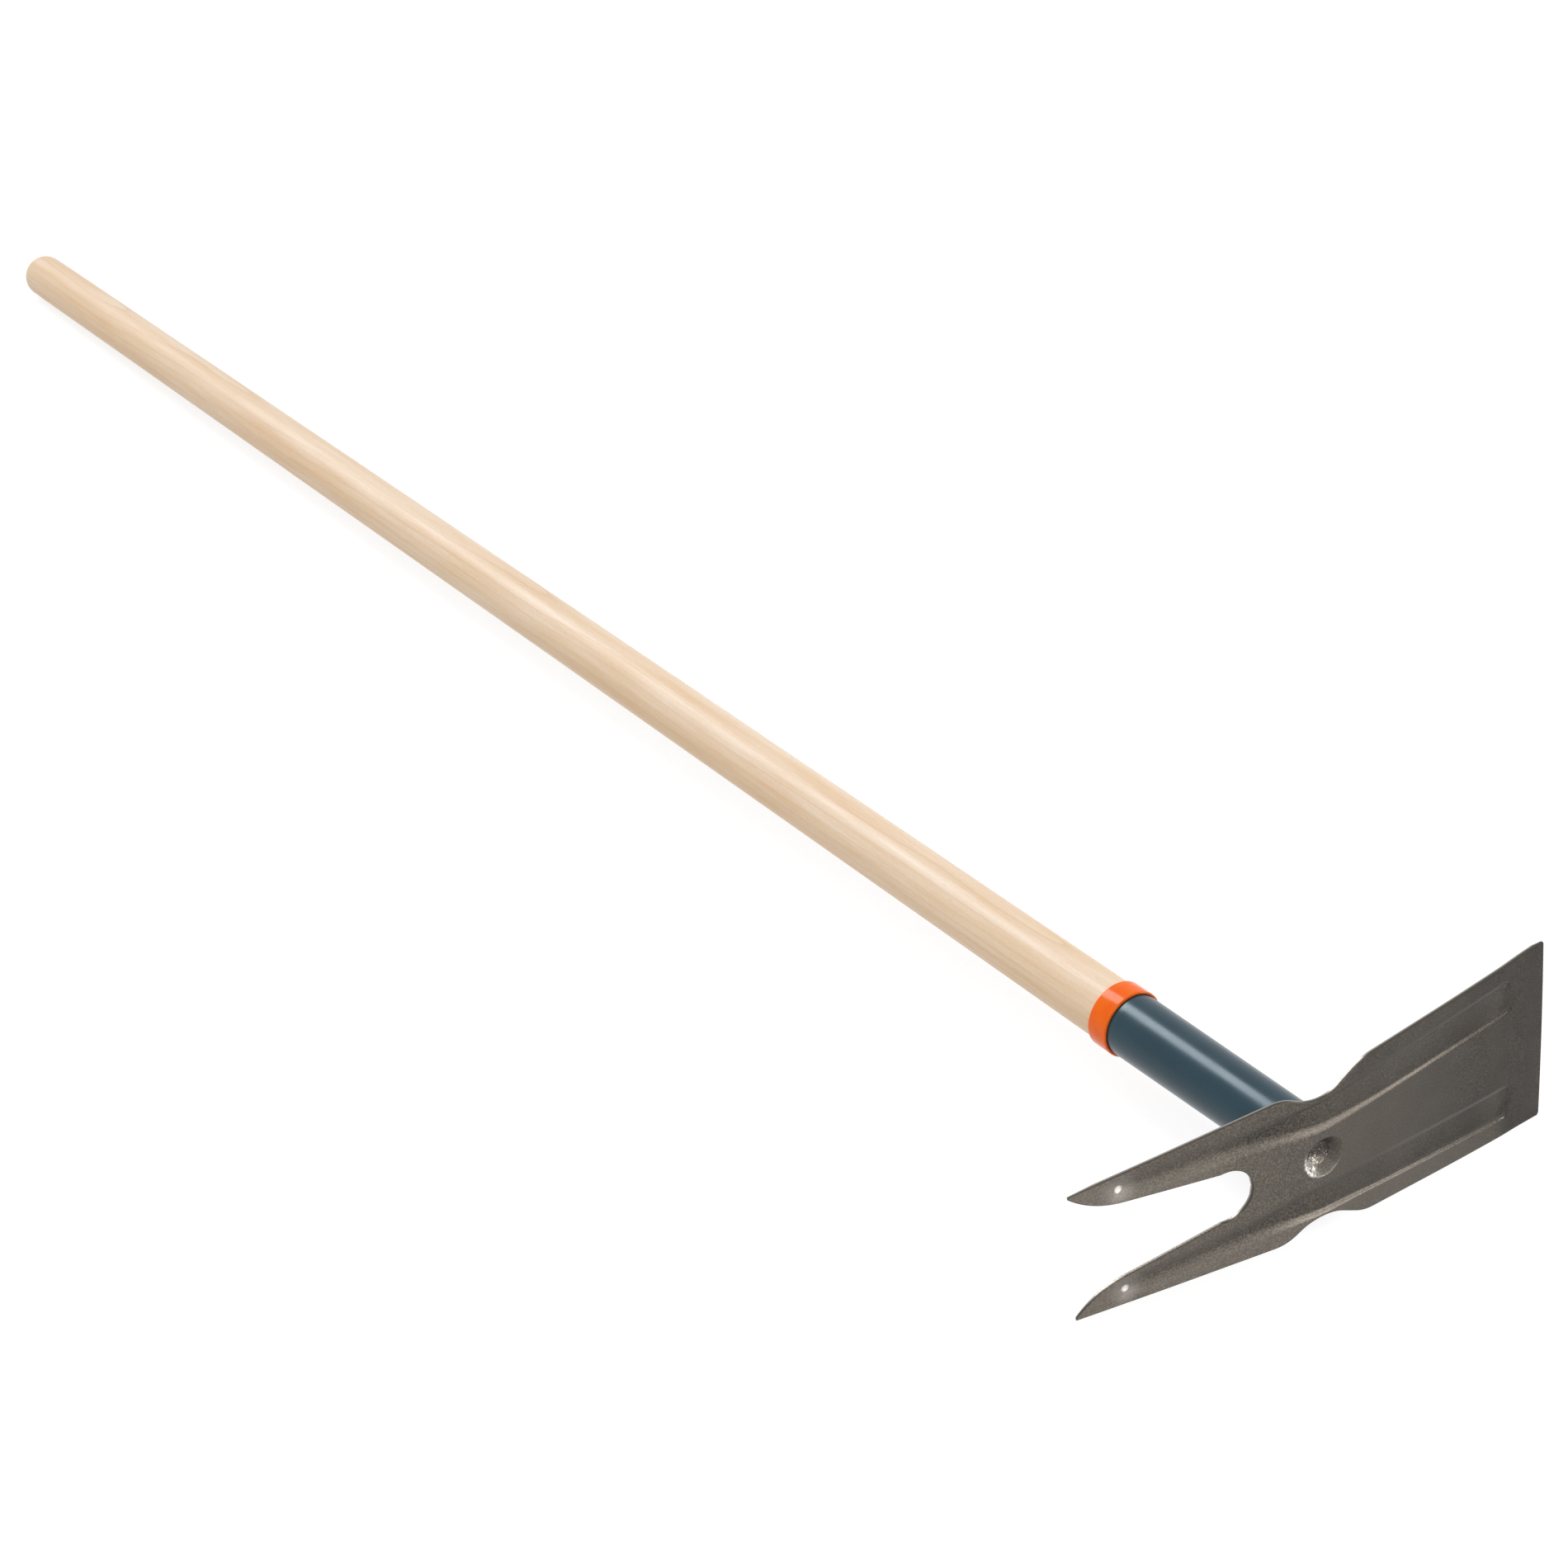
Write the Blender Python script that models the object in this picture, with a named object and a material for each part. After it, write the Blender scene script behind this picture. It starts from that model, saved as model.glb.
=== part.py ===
"""Two-prong hoe: a stamped steel head with a hoe blade at one end and two tines at
the other, carried by a tang and a ferrule on a long turned wooden handle.

The hoe is modelled in a tool frame and then laid down on the ground, the way it comes
to rest on its side. In the tool frame the origin is where the handle's axis meets the
front face of the head, X runs from the tines to the blade, Y runs from the head along
the handle, and Z runs across the head.
"""

import math

import bmesh
import bpy
from mathutils import Matrix, Vector

# Every length is in metres and every angle in degrees.

# Fits between neighbouring pieces
SEAT_GAP = 0.0003               # between two faces that seat on each other
SLIP_GAP = 0.0003               # radial, between a piece and what it slides over

# Wooden handle
HANDLE_RADIUS = 0.0150
HANDLE_LENGTH = 1.3720          # end of the tenon to the top of the dome, 54 inches
DOME_LENGTH = 0.0130            # rounded butt of the handle
TENON_CHAMFER = 0.0015
SHOULDER_CHAMFER = 0.0004

# Steel ferrule, slightly tapered
FERRULE_FOOT_RADIUS = 0.0146
FERRULE_RIM_RADIUS = 0.0154
FERRULE_WALL = 0.0012
FERRULE_LENGTH = 0.1312         # front face of the head to the far rim
FERRULE_RIM_CHAMFER = 0.0003

# Plastic collar over the joint between the ferrule and the wood
COLLAR_WALL = 0.00085
COLLAR_LENGTH = 0.0120
COLLAR_OVERLAP = 0.0055         # how far it covers the ferrule
COLLAR_EDGE_RADIUS = 0.0007

# Tang: peened head, shank, shoulder and spike
TANG_HEAD_RADIUS = 0.0070
TANG_HEAD_HEIGHT = 0.0014
TANG_HEAD_RIM = 0.0005          # thickness of the spread metal at its edge
TANG_CROWN_RADIUS = 0.0040      # flattened by the hammer
TANG_SHANK_RADIUS = 0.0040
TANG_SHOULDER_RADIUS = 0.0095
TANG_SHOULDER_THICKNESS = 0.0030
TANG_SPIKE_RADIUS = 0.0045      # where the spike leaves the shoulder
TANG_SPIKE_LENGTH = 0.0850
TANG_POINT_RADIUS = 0.0015
TANG_POINT_LENGTH = 0.0040

# Head plate: blank
PLATE_THICKNESS = 0.0019
BLADE_WIDTH = 0.0964            # across the cutting edge
BLADE_REACH = 0.1302            # handle axis to the cutting edge
TINE_REACH = 0.1212             # handle axis to the points of the tines
SIDE_TAPER_ANGLE = 3.4          # of each side, from the cutting edge to the points
WAIST_SHIFT = 0.0012            # waist lies this far to the tines' side of the axis
WAIST_FLANGE = 0.0011           # flat strip between a groove and the waist's edge
FLANK_ANGLE = 29.0              # of the flanks that lead down into the waist
WAIST_RADIUS = 0.0220
BLADE_SHOULDER_RADIUS = 0.0230
TINE_SHOULDER_RADIUS = 0.0200
BLADE_CORNER_RADIUS = 0.0014
EDGE_CROWN = 0.0005             # how far the cutting edge bulges in its middle
FORK_BOTTOM = 0.0352            # handle axis to the bottom of the fork
FORK_RADIUS = 0.01335
FORK_HALF_ANGLE = 8.2
CLAW_RADIUS = 0.0440            # inner edge of a tine where it runs out to the point
TINE_POINT_WIDTH = 0.0013

# Head plate: edges
RIM_CHAMFER = 0.00035
RIM_CHAMFER_SHARE = 0.2         # at most this share of the thickness or of a point's width
CUTTING_EDGE_THICKNESS = 0.0006
CUTTING_BEVEL_LENGTH = 0.0060   # ground on the back face
POINT_THICKNESS = 0.0011
POINT_BEVEL_LENGTH = 0.0120

# Head plate: bends
BEND_ANGLE = 9.2                # tines against blade
BEND_LENGTH = 0.0140
TINE_SWEEP_START = 0.0600       # from here to the points the tines curl further back
TINE_SWEEP_RADIUS = 2.70
BLADE_SWEEP_START = 0.0570      # from here to the cutting edge the blade curls back
BLADE_SWEEP_RADIUS = 1.96

# Head plate: the two stiffening grooves, and the flanges outside them that lean forward
GROOVE_DEPTH = 0.0015
GROOVE_BLADE_WIDTH = 0.0172     # lip to lip
GROOVE_NECK_WIDTH = 0.0160
GROOVE_TINE_WIDTH = 0.0120
GROOVE_WALL_WIDTH = 0.0027      # from the lip to the bottom, from the blade to the neck
GROOVE_BLADE_SPACING = 0.0590   # between the grooves at their blade ends
GROOVE_FERRULE_MARGIN = 0.0004  # between a groove and the ferrule's foot
GROOVE_EDGE_GAP = 0.0184        # groove's end to the cutting edge
GROOVE_POINT_GAP = 0.0170       # groove's end to the tine's point
GROOVE_TURN_LENGTH = 0.0400     # over which a groove changes direction at the waist
FLANGE_LEAN_ANGLE = 2.5
FLANGE_FADE_LENGTH = 0.0150     # over which the lean dies out past a groove's end

# Head plate: the dish that the tang is peened into
DISH_RADIUS = 0.0108
DISH_FLOOR_RADIUS = 0.0076
DISH_DEPTH = 0.0040
DISH_WALL = 0.0016
DISH_FILLET = 0.0012            # between its wall and its floor

# Fineness of the round and swept shapes
TURNED_STEPS = 56               # around the handle, the ferrule, the collar and the dish
TANG_STEPS = 32
ARC_STEP = 9.0                  # degrees along the outline's arcs and the handle's dome
EDGE_ARC_STEP = 22.5            # degrees along small rounded edges
COPE_STEPS = 24
STATION_STEP = 0.0075
STATION_MERGE = 0.0001
END_CLEARANCE = 0.0004          # least distance of a cross-section from the plate's ends
GROOVE_END_STATIONS = (0.0, 0.4, 0.7, 0.85, 1.0)    # shares of the end's radius
COLUMN_COUNTS = (3, 8, 3)       # inside the groove, across it and outside it
LEAST_COLUMN_SHARE = 0.1        # narrowest column, as a share of an even one
MITRE_LIMIT = 0.5
SHARP_ANGLE = 32.0
WELD_DISTANCE = 0.000001
CUTTER_MARGIN = 0.0050          # how far a cutter runs past what it cuts
RESTING_PASSES = 8


def tan_deg(angle):
    """Tangent of an angle in degrees."""
    return math.tan(math.radians(angle))


def ramp(distance, half_length):
    """Zero before a corner at 0 and the distance after it, rounded off near it."""
    if distance <= -half_length:
        return 0.0
    if distance >= half_length:
        return distance
    return (distance + half_length) ** 2 / (4.0 * half_length)


def smoothstep(value):
    """S-shaped step from 0 to 1."""
    value = min(max(value, 0.0), 1.0)
    return value * value * (3.0 - 2.0 * value)


def mix(first, second, share):
    """Value that lies the given share of the way from first to second."""
    return first + (second - first) * share


def height_at(points, x):
    """Second coordinate at x of a line through points in order of rising x."""
    for (x0, z0), (x1, z1) in zip(points, points[1:]):
        if x <= x1:
            share = 0.0 if x1 - x0 <= 0.0 else (max(x, x0) - x0) / (x1 - x0)
            return mix(z0, z1, share)
    return points[-1][1]


def rounded_path(corners, radii, arc_step):
    """Line through the corners, with each inner corner rounded to its radius."""
    corners = [Vector(corner) for corner in corners]
    path = [corners[0]]
    for before, corner, after, radius in zip(corners, corners[1:], corners[2:], radii):
        if radius == 0.0:
            path.append(corner)
            continue
        to_before = (before - corner).normalized()
        to_after = (after - corner).normalized()
        half_angle = to_before.angle(to_after) / 2.0
        turn = math.pi - 2.0 * half_angle
        centre = corner + (to_before + to_after).normalized() * (radius / math.sin(half_angle))
        start = corner + to_before * (radius / math.tan(half_angle)) - centre
        side = to_before - start.normalized() * to_before.dot(start.normalized())
        steps = max(3, math.ceil(math.degrees(turn) / arc_step))
        for step in range(steps + 1):
            angle = turn * step / steps
            path.append(centre + start * math.cos(angle) - side.normalized() * (radius * math.sin(angle)))
    path.append(corners[-1])
    return path


# Materials


def make_material(name, color, roughness, metallic):
    """Principled material of one colour."""
    material = bpy.data.materials.new(name)
    material.use_nodes = True
    shader = material.node_tree.nodes["Principled BSDF"]
    shader.inputs["Base Color"].default_value = (*color, 1.0)
    shader.inputs["Roughness"].default_value = roughness
    shader.inputs["Metallic"].default_value = metallic
    material.diffuse_color = (*color, 1.0)
    return material


# Making objects


def add_object(name, shape, frame, material=None):
    """Turn a bmesh into a named, smooth-shaded object that belongs to the hoe."""
    mesh = bpy.data.meshes.new(name)
    shape.to_mesh(mesh)
    shape.free()
    mesh.shade_smooth()
    mesh.set_sharp_from_angle(angle=math.radians(SHARP_ANGLE))
    if material is not None:
        mesh.materials.append(material)
    obj = bpy.data.objects.new(name, mesh)
    bpy.context.scene.collection.objects.link(obj)
    obj.parent = frame
    return obj


def turned_shape(profile, closed=False, steps=TURNED_STEPS):
    """Turn a profile of (radius, y) points about the Y axis.

    A closed profile makes a ring or tube. An open one starts and ends on the axis.
    """
    shape = bmesh.new()
    points = [shape.verts.new((radius, y, 0.0)) for radius, y in profile]
    edges = [shape.edges.new(pair) for pair in zip(points, points[1:])]
    if closed:
        edges.append(shape.edges.new((points[-1], points[0])))
    bmesh.ops.spin(shape, geom=points + edges, cent=(0.0, 0.0, 0.0), axis=(0.0, 1.0, 0.0),
                   angle=math.tau, steps=steps, use_merge=True)
    bmesh.ops.remove_doubles(shape, verts=shape.verts, dist=WELD_DISTANCE)
    bmesh.ops.recalc_face_normals(shape, faces=shape.faces)
    return shape


def as_tool(obj):
    """Mark an object as a cutter or filler that isn't a piece of the hoe."""
    obj.hide_render = True
    obj.display_type = "WIRE"
    return obj


def add_boolean(obj, tool, operation):
    """Add or take away the tool's shape."""
    modifier = obj.modifiers.new(tool.name, "BOOLEAN")
    modifier.object = tool
    modifier.operation = operation
    modifier.solver = "EXACT"


# The head plate's outline: its outer side and the inner side of a tine, for the upper half


def side_line(x):
    """Half width of the tapered blank."""
    return BLADE_WIDTH / 2.0 - tan_deg(SIDE_TAPER_ANGLE) * (BLADE_REACH - x)


def neck_groove_centre():
    """Distance from the handle's axis to a groove where it passes the ferrule."""
    return FERRULE_FOOT_RADIUS + GROOVE_FERRULE_MARGIN + GROOVE_NECK_WIDTH / 2.0


def outer_outline():
    """Upper edge of the blank from a tine's point to the middle of the cutting edge."""
    waist_half_width = neck_groove_centre() + GROOVE_NECK_WIDTH / 2.0 + WAIST_FLANGE
    rise = WAIST_RADIUS * (1.0 / math.cos(math.radians(FLANK_ANGLE)) - 1.0)
    waist = (-WAIST_SHIFT, waist_half_width - rise)
    fall = side_line(-WAIST_SHIFT) - waist[1]
    tine_run = fall / (tan_deg(FLANK_ANGLE) + tan_deg(SIDE_TAPER_ANGLE))
    blade_run = fall / (tan_deg(FLANK_ANGLE) - tan_deg(SIDE_TAPER_ANGLE))
    tine_shoulder = -WAIST_SHIFT - tine_run
    blade_shoulder = -WAIST_SHIFT + blade_run
    corners = [
        (-TINE_REACH, side_line(-TINE_REACH)),
        (tine_shoulder, side_line(tine_shoulder)),
        waist,
        (blade_shoulder, side_line(blade_shoulder)),
        (BLADE_REACH, BLADE_WIDTH / 2.0),
        (BLADE_REACH, 0.0),
    ]
    radii = [TINE_SHOULDER_RADIUS, WAIST_RADIUS, BLADE_SHOULDER_RADIUS, BLADE_CORNER_RADIUS]
    return rounded_path(corners, radii, ARC_STEP)


def inner_outline():
    """Inner edge of the upper tine, from its point to the bottom of the fork."""
    half_angle = math.radians(FORK_HALF_ANGLE)
    along = Vector((-math.cos(half_angle), math.sin(half_angle)))
    across = Vector((math.sin(half_angle), math.cos(half_angle)))
    fork_centre = Vector((-FORK_BOTTOM - FORK_RADIUS, 0.0))
    turn = 90.0 + FORK_HALF_ANGLE
    steps = math.ceil(turn / ARC_STEP)
    path = []
    for step in range(steps + 1):
        angle = math.radians(turn) * step / steps
        path.append(fork_centre + FORK_RADIUS * Vector((math.cos(angle), math.sin(angle))))
    point = Vector((-TINE_REACH, side_line(-TINE_REACH) - TINE_POINT_WIDTH))
    reach = (point - path[-1]).dot(along)
    offset = (point - path[-1]).dot(across)
    claw_turn = math.acos(1.0 - offset / CLAW_RADIUS)
    claw_start = path[-1] + along * (reach - CLAW_RADIUS * math.sin(claw_turn))
    steps = math.ceil(math.degrees(claw_turn) / ARC_STEP) + 1
    for step in range(steps + 1):
        angle = claw_turn * step / steps
        path.append(claw_start + along * (CLAW_RADIUS * math.sin(angle))
                    + across * (CLAW_RADIUS * (1.0 - math.cos(angle))))
    path.reverse()
    return path


# The head plate's surface


def front_sweep(x):
    """How far the plate's front face lies behind the origin's plane."""
    tine_distance = ramp(-x, BEND_LENGTH / 2.0)
    tine_sweep = max(-x - TINE_SWEEP_START, 0.0) ** 2 / (2.0 * TINE_SWEEP_RADIUS)
    blade_sweep = max(x - BLADE_SWEEP_START, 0.0) ** 2 / (2.0 * BLADE_SWEEP_RADIUS)
    return tan_deg(BEND_ANGLE) * tine_distance + tine_sweep + blade_sweep


def plate_thickness(x):
    """Thickness, ground down towards the cutting edge and the points."""
    edge_share = (BLADE_REACH - x) / CUTTING_BEVEL_LENGTH
    point_share = (x + TINE_REACH) / POINT_BEVEL_LENGTH
    if edge_share < 1.0:
        return mix(CUTTING_EDGE_THICKNESS, PLATE_THICKNESS, max(edge_share, 0.0))
    if point_share < 1.0:
        return mix(POINT_THICKNESS, PLATE_THICKNESS, max(point_share, 0.0))
    return PLATE_THICKNESS


def rim_chamfer(x):
    """Width of the chamfer along the plate's sheared edge."""
    return min(RIM_CHAMFER, RIM_CHAMFER_SHARE * plate_thickness(x), RIM_CHAMFER_SHARE * TINE_POINT_WIDTH)


class Groove:
    """Path and cross-section of the upper groove; the lower one is its mirror image."""

    def __init__(self, outer, inner):
        self.blade_end = BLADE_REACH - GROOVE_EDGE_GAP - GROOVE_BLADE_WIDTH / 2.0
        self.tine_end = -(TINE_REACH - GROOVE_POINT_GAP - GROOVE_TINE_WIDTH / 2.0)
        self.neck = neck_groove_centre()
        tine_middle = (height_at(outer, self.tine_end) + height_at(inner, self.tine_end)) / 2.0
        self.blade_slope = (GROOVE_BLADE_SPACING / 2.0 - self.neck) / self.blade_end
        self.tine_slope = (tine_middle - self.neck) / -self.tine_end

    def centre(self, x):
        """Distance of the groove's middle line from the head's middle plane."""
        half_turn = GROOVE_TURN_LENGTH / 2.0
        return self.neck + self.blade_slope * ramp(x, half_turn) + self.tine_slope * ramp(-x, half_turn)

    def half_width(self, x):
        """Half the groove's width, lip to lip."""
        if x >= 0.0:
            return mix(GROOVE_NECK_WIDTH, GROOVE_BLADE_WIDTH, min(x / self.blade_end, 1.0)) / 2.0
        return mix(GROOVE_NECK_WIDTH, GROOVE_TINE_WIDTH, min(x / self.tine_end, 1.0)) / 2.0

    def wall_width(self, x):
        """Width of a wall; on the tine the walls spread until they meet in the middle."""
        return mix(GROOVE_WALL_WIDTH, GROOVE_TINE_WIDTH / 2.0, smoothstep(x / self.tine_end))

    def past_end(self, x):
        """How far x lies beyond either end of the groove's middle line."""
        return max(x - self.blade_end, self.tine_end - x, 0.0)

    def depth(self, x, z):
        """How far the metal is pressed back at a point; round at both ends."""
        half_width = self.half_width(x)
        inside = half_width - math.hypot(z - self.centre(x), self.past_end(x))
        bottom = GROOVE_DEPTH * half_width / (GROOVE_BLADE_WIDTH / 2.0)
        return bottom * smoothstep(inside / self.wall_width(x))

    def lean(self, x, z):
        """How far the flange outside the groove comes forward at a point."""
        outside = max(z - self.centre(x) - self.half_width(x), 0.0)
        share = 1.0 - smoothstep(self.past_end(x) / FLANGE_FADE_LENGTH)
        return tan_deg(FLANGE_LEAN_ANGLE) * outside * share


def station_positions(outer, inner, groove):
    """Places along X where the plate's cross-section is drawn, from point to edge."""
    wanted = [point.x for point in outer] + [point.x for point in inner]
    for middle, radius in ((groove.blade_end, GROOVE_BLADE_WIDTH / 2.0),
                           (groove.tine_end, -GROOVE_TINE_WIDTH / 2.0)):
        wanted += [middle + radius * share for share in GROOVE_END_STATIONS]
    wanted += [BLADE_REACH - CUTTING_BEVEL_LENGTH, POINT_BEVEL_LENGTH - TINE_REACH]
    wanted += [-BEND_LENGTH / 2.0, 0.0, BEND_LENGTH / 2.0]
    ends = [-TINE_REACH, -FORK_BOTTOM, BLADE_REACH]
    wanted = [x for x in wanted if all(abs(x - end) > STATION_MERGE for end in ends)] + ends
    wanted.sort()
    stations = [wanted[0]]
    for x in wanted[1:]:
        if x - stations[-1] < STATION_MERGE:
            continue
        pieces = math.ceil((x - stations[-1]) / STATION_STEP)
        start = stations[-1]
        stations += [mix(start, x, piece / pieces) for piece in range(1, pieces + 1)]
    crowded = [
        (-TINE_REACH, -TINE_REACH + END_CLEARANCE),
        (-FORK_BOTTOM, -FORK_BOTTOM + END_CLEARANCE),
        (BLADE_REACH - END_CLEARANCE, BLADE_REACH),
    ]
    return [x for x in stations if not any(low < x < high for low, high in crowded)]


def column_positions(x, outer, inner, groove):
    """Places across the upper half of the plate at one station, from inside to outside."""
    outside = height_at(outer, x)
    inside = height_at(inner, x) if x < -FORK_BOTTOM else 0.0
    place = max(x, groove.tine_end)
    end_outside = height_at(outer, place)
    end_inside = height_at(inner, place) if place < -FORK_BOTTOM else 0.0
    to_point = (place - x) / (groove.tine_end + TINE_REACH)
    lips = []
    for side, columns in ((-1.0, COLUMN_COUNTS[0]), (1.0, sum(COLUMN_COUNTS[:2]))):
        lip = groove.centre(place) + side * groove.half_width(place)
        share = (lip - end_inside) / (end_outside - end_inside)
        share = mix(share, columns / sum(COLUMN_COUNTS), to_point)
        lips.append(mix(inside, outside, share))
    edge = outside - rim_chamfer(x)
    columns = []
    for low, high, count in zip([inside] + lips, lips + [edge], COLUMN_COUNTS):
        columns += [mix(low, high, index / count) for index in range(count)]
    return columns + [outside]


def keep_apart(row):
    """Hold a row's inner points apart where its ends have closed in on them."""
    last = len(row) - 1
    least = LEAST_COLUMN_SHARE * (row[last].y - row[0].y) / last
    for column in range(1, last):
        lowest = row[0].y + column * least
        highest = row[last].y - (last - column) * least
        row[column].y = min(max(row[column].y, lowest), highest)


def inset_towards(before, here, after, distance):
    """Point moved to the left of the way from before to after, square to both stretches."""
    first = (here - before).normalized()
    second = (after - here).normalized()
    bisector = (Vector((-first.y, first.x)) + Vector((-second.y, second.x))).normalized()
    stretch = max(bisector.dot(Vector((-first.y, first.x))), MITRE_LIMIT)
    return here + bisector * (distance / stretch)


def edge_bulge(point):
    """How far the crown of the cutting edge carries a point outwards."""
    crown = EDGE_CROWN * (1.0 - (2.0 * point.y / BLADE_WIDTH) ** 2)
    return crown * smoothstep((point.x - BLADE_SWEEP_START) / (BLADE_REACH - BLADE_SWEEP_START))


class PlatePlan:
    """Upper half of the plate seen from the front: a grid of points and its rim."""

    def __init__(self):
        outer = outer_outline()
        inner = inner_outline()
        self.groove = Groove(outer, inner)
        edge_start = next(index for index, point in enumerate(outer)
                          if point.x >= BLADE_REACH - STATION_MERGE)
        outer = outer[:edge_start + 1]
        stations = station_positions(outer, inner, self.groove)
        self.grid = [[Vector((x, z)) for z in column_positions(x, outer, inner, self.groove)]
                     for x in stations]
        for row in self.grid:
            for point in row:
                point.x += edge_bulge(point)
        fork = min(range(len(stations)), key=lambda index: abs(stations[index] + FORK_BOTTOM))
        self.rim = self.rim_places(fork)
        self.outline = [self.grid[index][column].copy() for index, column in self.rim]
        self.draw_back_from_rim()

    def rim_places(self, fork):
        """Rim from the fork's bottom round the tine, the outer side and the cutting edge."""
        last = len(self.grid) - 1
        width = len(self.grid[0]) - 1
        rim = [(index, 0) for index in range(fork, -1, -1)]
        rim += [(0, column) for column in range(1, width + 1)]
        rim += [(index, width) for index in range(1, last + 1)]
        rim += [(last, column) for column in range(width - 1, -1, -1)]
        return rim

    def draw_back_from_rim(self):
        """Move the grid's border inwards by the chamfer."""
        mirrored = [Vector((point.x, -point.y)) for point in (self.outline[1], self.outline[-2])]
        line = [mirrored[0]] + self.outline + [mirrored[1]]
        for place, (index, column) in enumerate(self.rim):
            before, here, after = line[place:place + 3]
            self.grid[index][column] = inset_towards(before, here, after, -rim_chamfer(here.x))
        for row in self.grid:
            keep_apart(row)

    def front_height(self, point):
        """Height of the front face at a point."""
        pressed = self.groove.depth(point.x, point.y) - self.groove.lean(point.x, point.y)
        return front_sweep(point.x) + pressed


def add_plate_half(shape, plan, side):
    """Both faces and the chamfered rim of the upper (1) or the lower (-1) half."""
    faces = []
    rims = []
    for back in (False, True):
        rows = []
        for row in plan.grid:
            heights = [plan.front_height(point) + (plate_thickness(point.x) if back else 0.0) for point in row]
            rows.append([shape.verts.new((point.x, height, side * point.y))
                         for point, height in zip(row, heights)])
        faces.append(rows)
        line = []
        for point in plan.outline:
            chamfer = rim_chamfer(point.x)
            height = plan.front_height(point) + (plate_thickness(point.x) - chamfer if back else chamfer)
            line.append(shape.verts.new((point.x, height, side * point.y)))
        rims.append(line)
    for rows in faces:
        for row, next_row in zip(rows, rows[1:]):
            for column in range(len(row) - 1):
                shape.faces.new((row[column], row[column + 1], next_row[column + 1], next_row[column]))
    borders = [[rows[index][column] for index, column in plan.rim] for rows in faces]
    strips = [borders[0], rims[0], rims[1], borders[1]]
    for strip, next_strip in zip(strips, strips[1:]):
        for place in range(len(strip) - 1):
            shape.faces.new((strip[place], strip[place + 1], next_strip[place + 1], next_strip[place]))


def head_plate_shape():
    """Stamped plate, still without its dish."""
    plan = PlatePlan()
    shape = bmesh.new()
    add_plate_half(shape, plan, 1.0)
    add_plate_half(shape, plan, -1.0)
    bmesh.ops.remove_doubles(shape, verts=shape.verts, dist=WELD_DISTANCE)
    bmesh.ops.recalc_face_normals(shape, faces=shape.faces)
    return shape


# Pieces


def dish_wall_radius(y):
    """Radius of the dish's inside at a depth behind the front face."""
    return mix(DISH_RADIUS, DISH_FLOOR_RADIUS, y / DISH_DEPTH)


def add_head_plate(frame, material):
    """Head plate with the dish pressed in around the tang's hole."""
    plate = add_object("head_plate", head_plate_shape(), frame, material)
    root = PLATE_THICKNESS / 2.0
    bump = [
        (0.0, root),
        (dish_wall_radius(root) + DISH_WALL, root),
        (DISH_FLOOR_RADIUS + DISH_WALL, DISH_DEPTH + PLATE_THICKNESS),
        (0.0, DISH_DEPTH + PLATE_THICKNESS),
    ]
    bump = turned_shape(rounded_path(bump, [0.0, DISH_WALL], EDGE_ARC_STEP))
    add_boolean(plate, as_tool(add_object("dish_bump", bump, frame)), "UNION")
    hole_radius = TANG_SHANK_RADIUS + SLIP_GAP
    hole_end = DISH_DEPTH + PLATE_THICKNESS + CUTTER_MARGIN
    hollow = [
        (0.0, -CUTTER_MARGIN),
        (dish_wall_radius(-CUTTER_MARGIN), -CUTTER_MARGIN),
        (DISH_FLOOR_RADIUS, DISH_DEPTH),
        (hole_radius, DISH_DEPTH),
        (hole_radius, hole_end),
        (0.0, hole_end),
    ]
    hollow = turned_shape(rounded_path(hollow, [0.0, DISH_FILLET, 0.0, 0.0], EDGE_ARC_STEP))
    add_boolean(plate, as_tool(add_object("dish_hollow", hollow, frame)), "DIFFERENCE")
    return plate


def tang_shoulder_start():
    """Where the tang's shoulder seats behind the dish."""
    return DISH_DEPTH + PLATE_THICKNESS + SEAT_GAP


def handle_start():
    """Where the wood seats on the tang's shoulder."""
    return tang_shoulder_start() + TANG_SHOULDER_THICKNESS + SEAT_GAP


def add_tang(frame, material):
    """Tang: its front end is peened over in the dish, and its spike holds the wood."""
    head_seat = DISH_DEPTH - SEAT_GAP
    head_top = head_seat - TANG_HEAD_HEIGHT
    shoulder = tang_shoulder_start()
    spike = shoulder + TANG_SHOULDER_THICKNESS
    point = spike + TANG_SPIKE_LENGTH
    profile = [
        (0.0, head_top),
        (TANG_CROWN_RADIUS, head_top),
        (TANG_HEAD_RADIUS, head_seat - TANG_HEAD_RIM),
        (TANG_HEAD_RADIUS, head_seat),
        (TANG_SHANK_RADIUS, head_seat),
        (TANG_SHANK_RADIUS, shoulder),
        (TANG_SHOULDER_RADIUS, shoulder),
        (TANG_SHOULDER_RADIUS, spike),
        (TANG_SPIKE_RADIUS, spike),
        (TANG_POINT_RADIUS, point - TANG_POINT_LENGTH),
        (0.0, point),
    ]
    return add_object("tang", turned_shape(profile, steps=TANG_STEPS), frame, material)


def ferrule_radius(y):
    """Outer radius of the ferrule, which widens from its foot to its rim."""
    return mix(FERRULE_FOOT_RADIUS, FERRULE_RIM_RADIUS, y / FERRULE_LENGTH)


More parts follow.
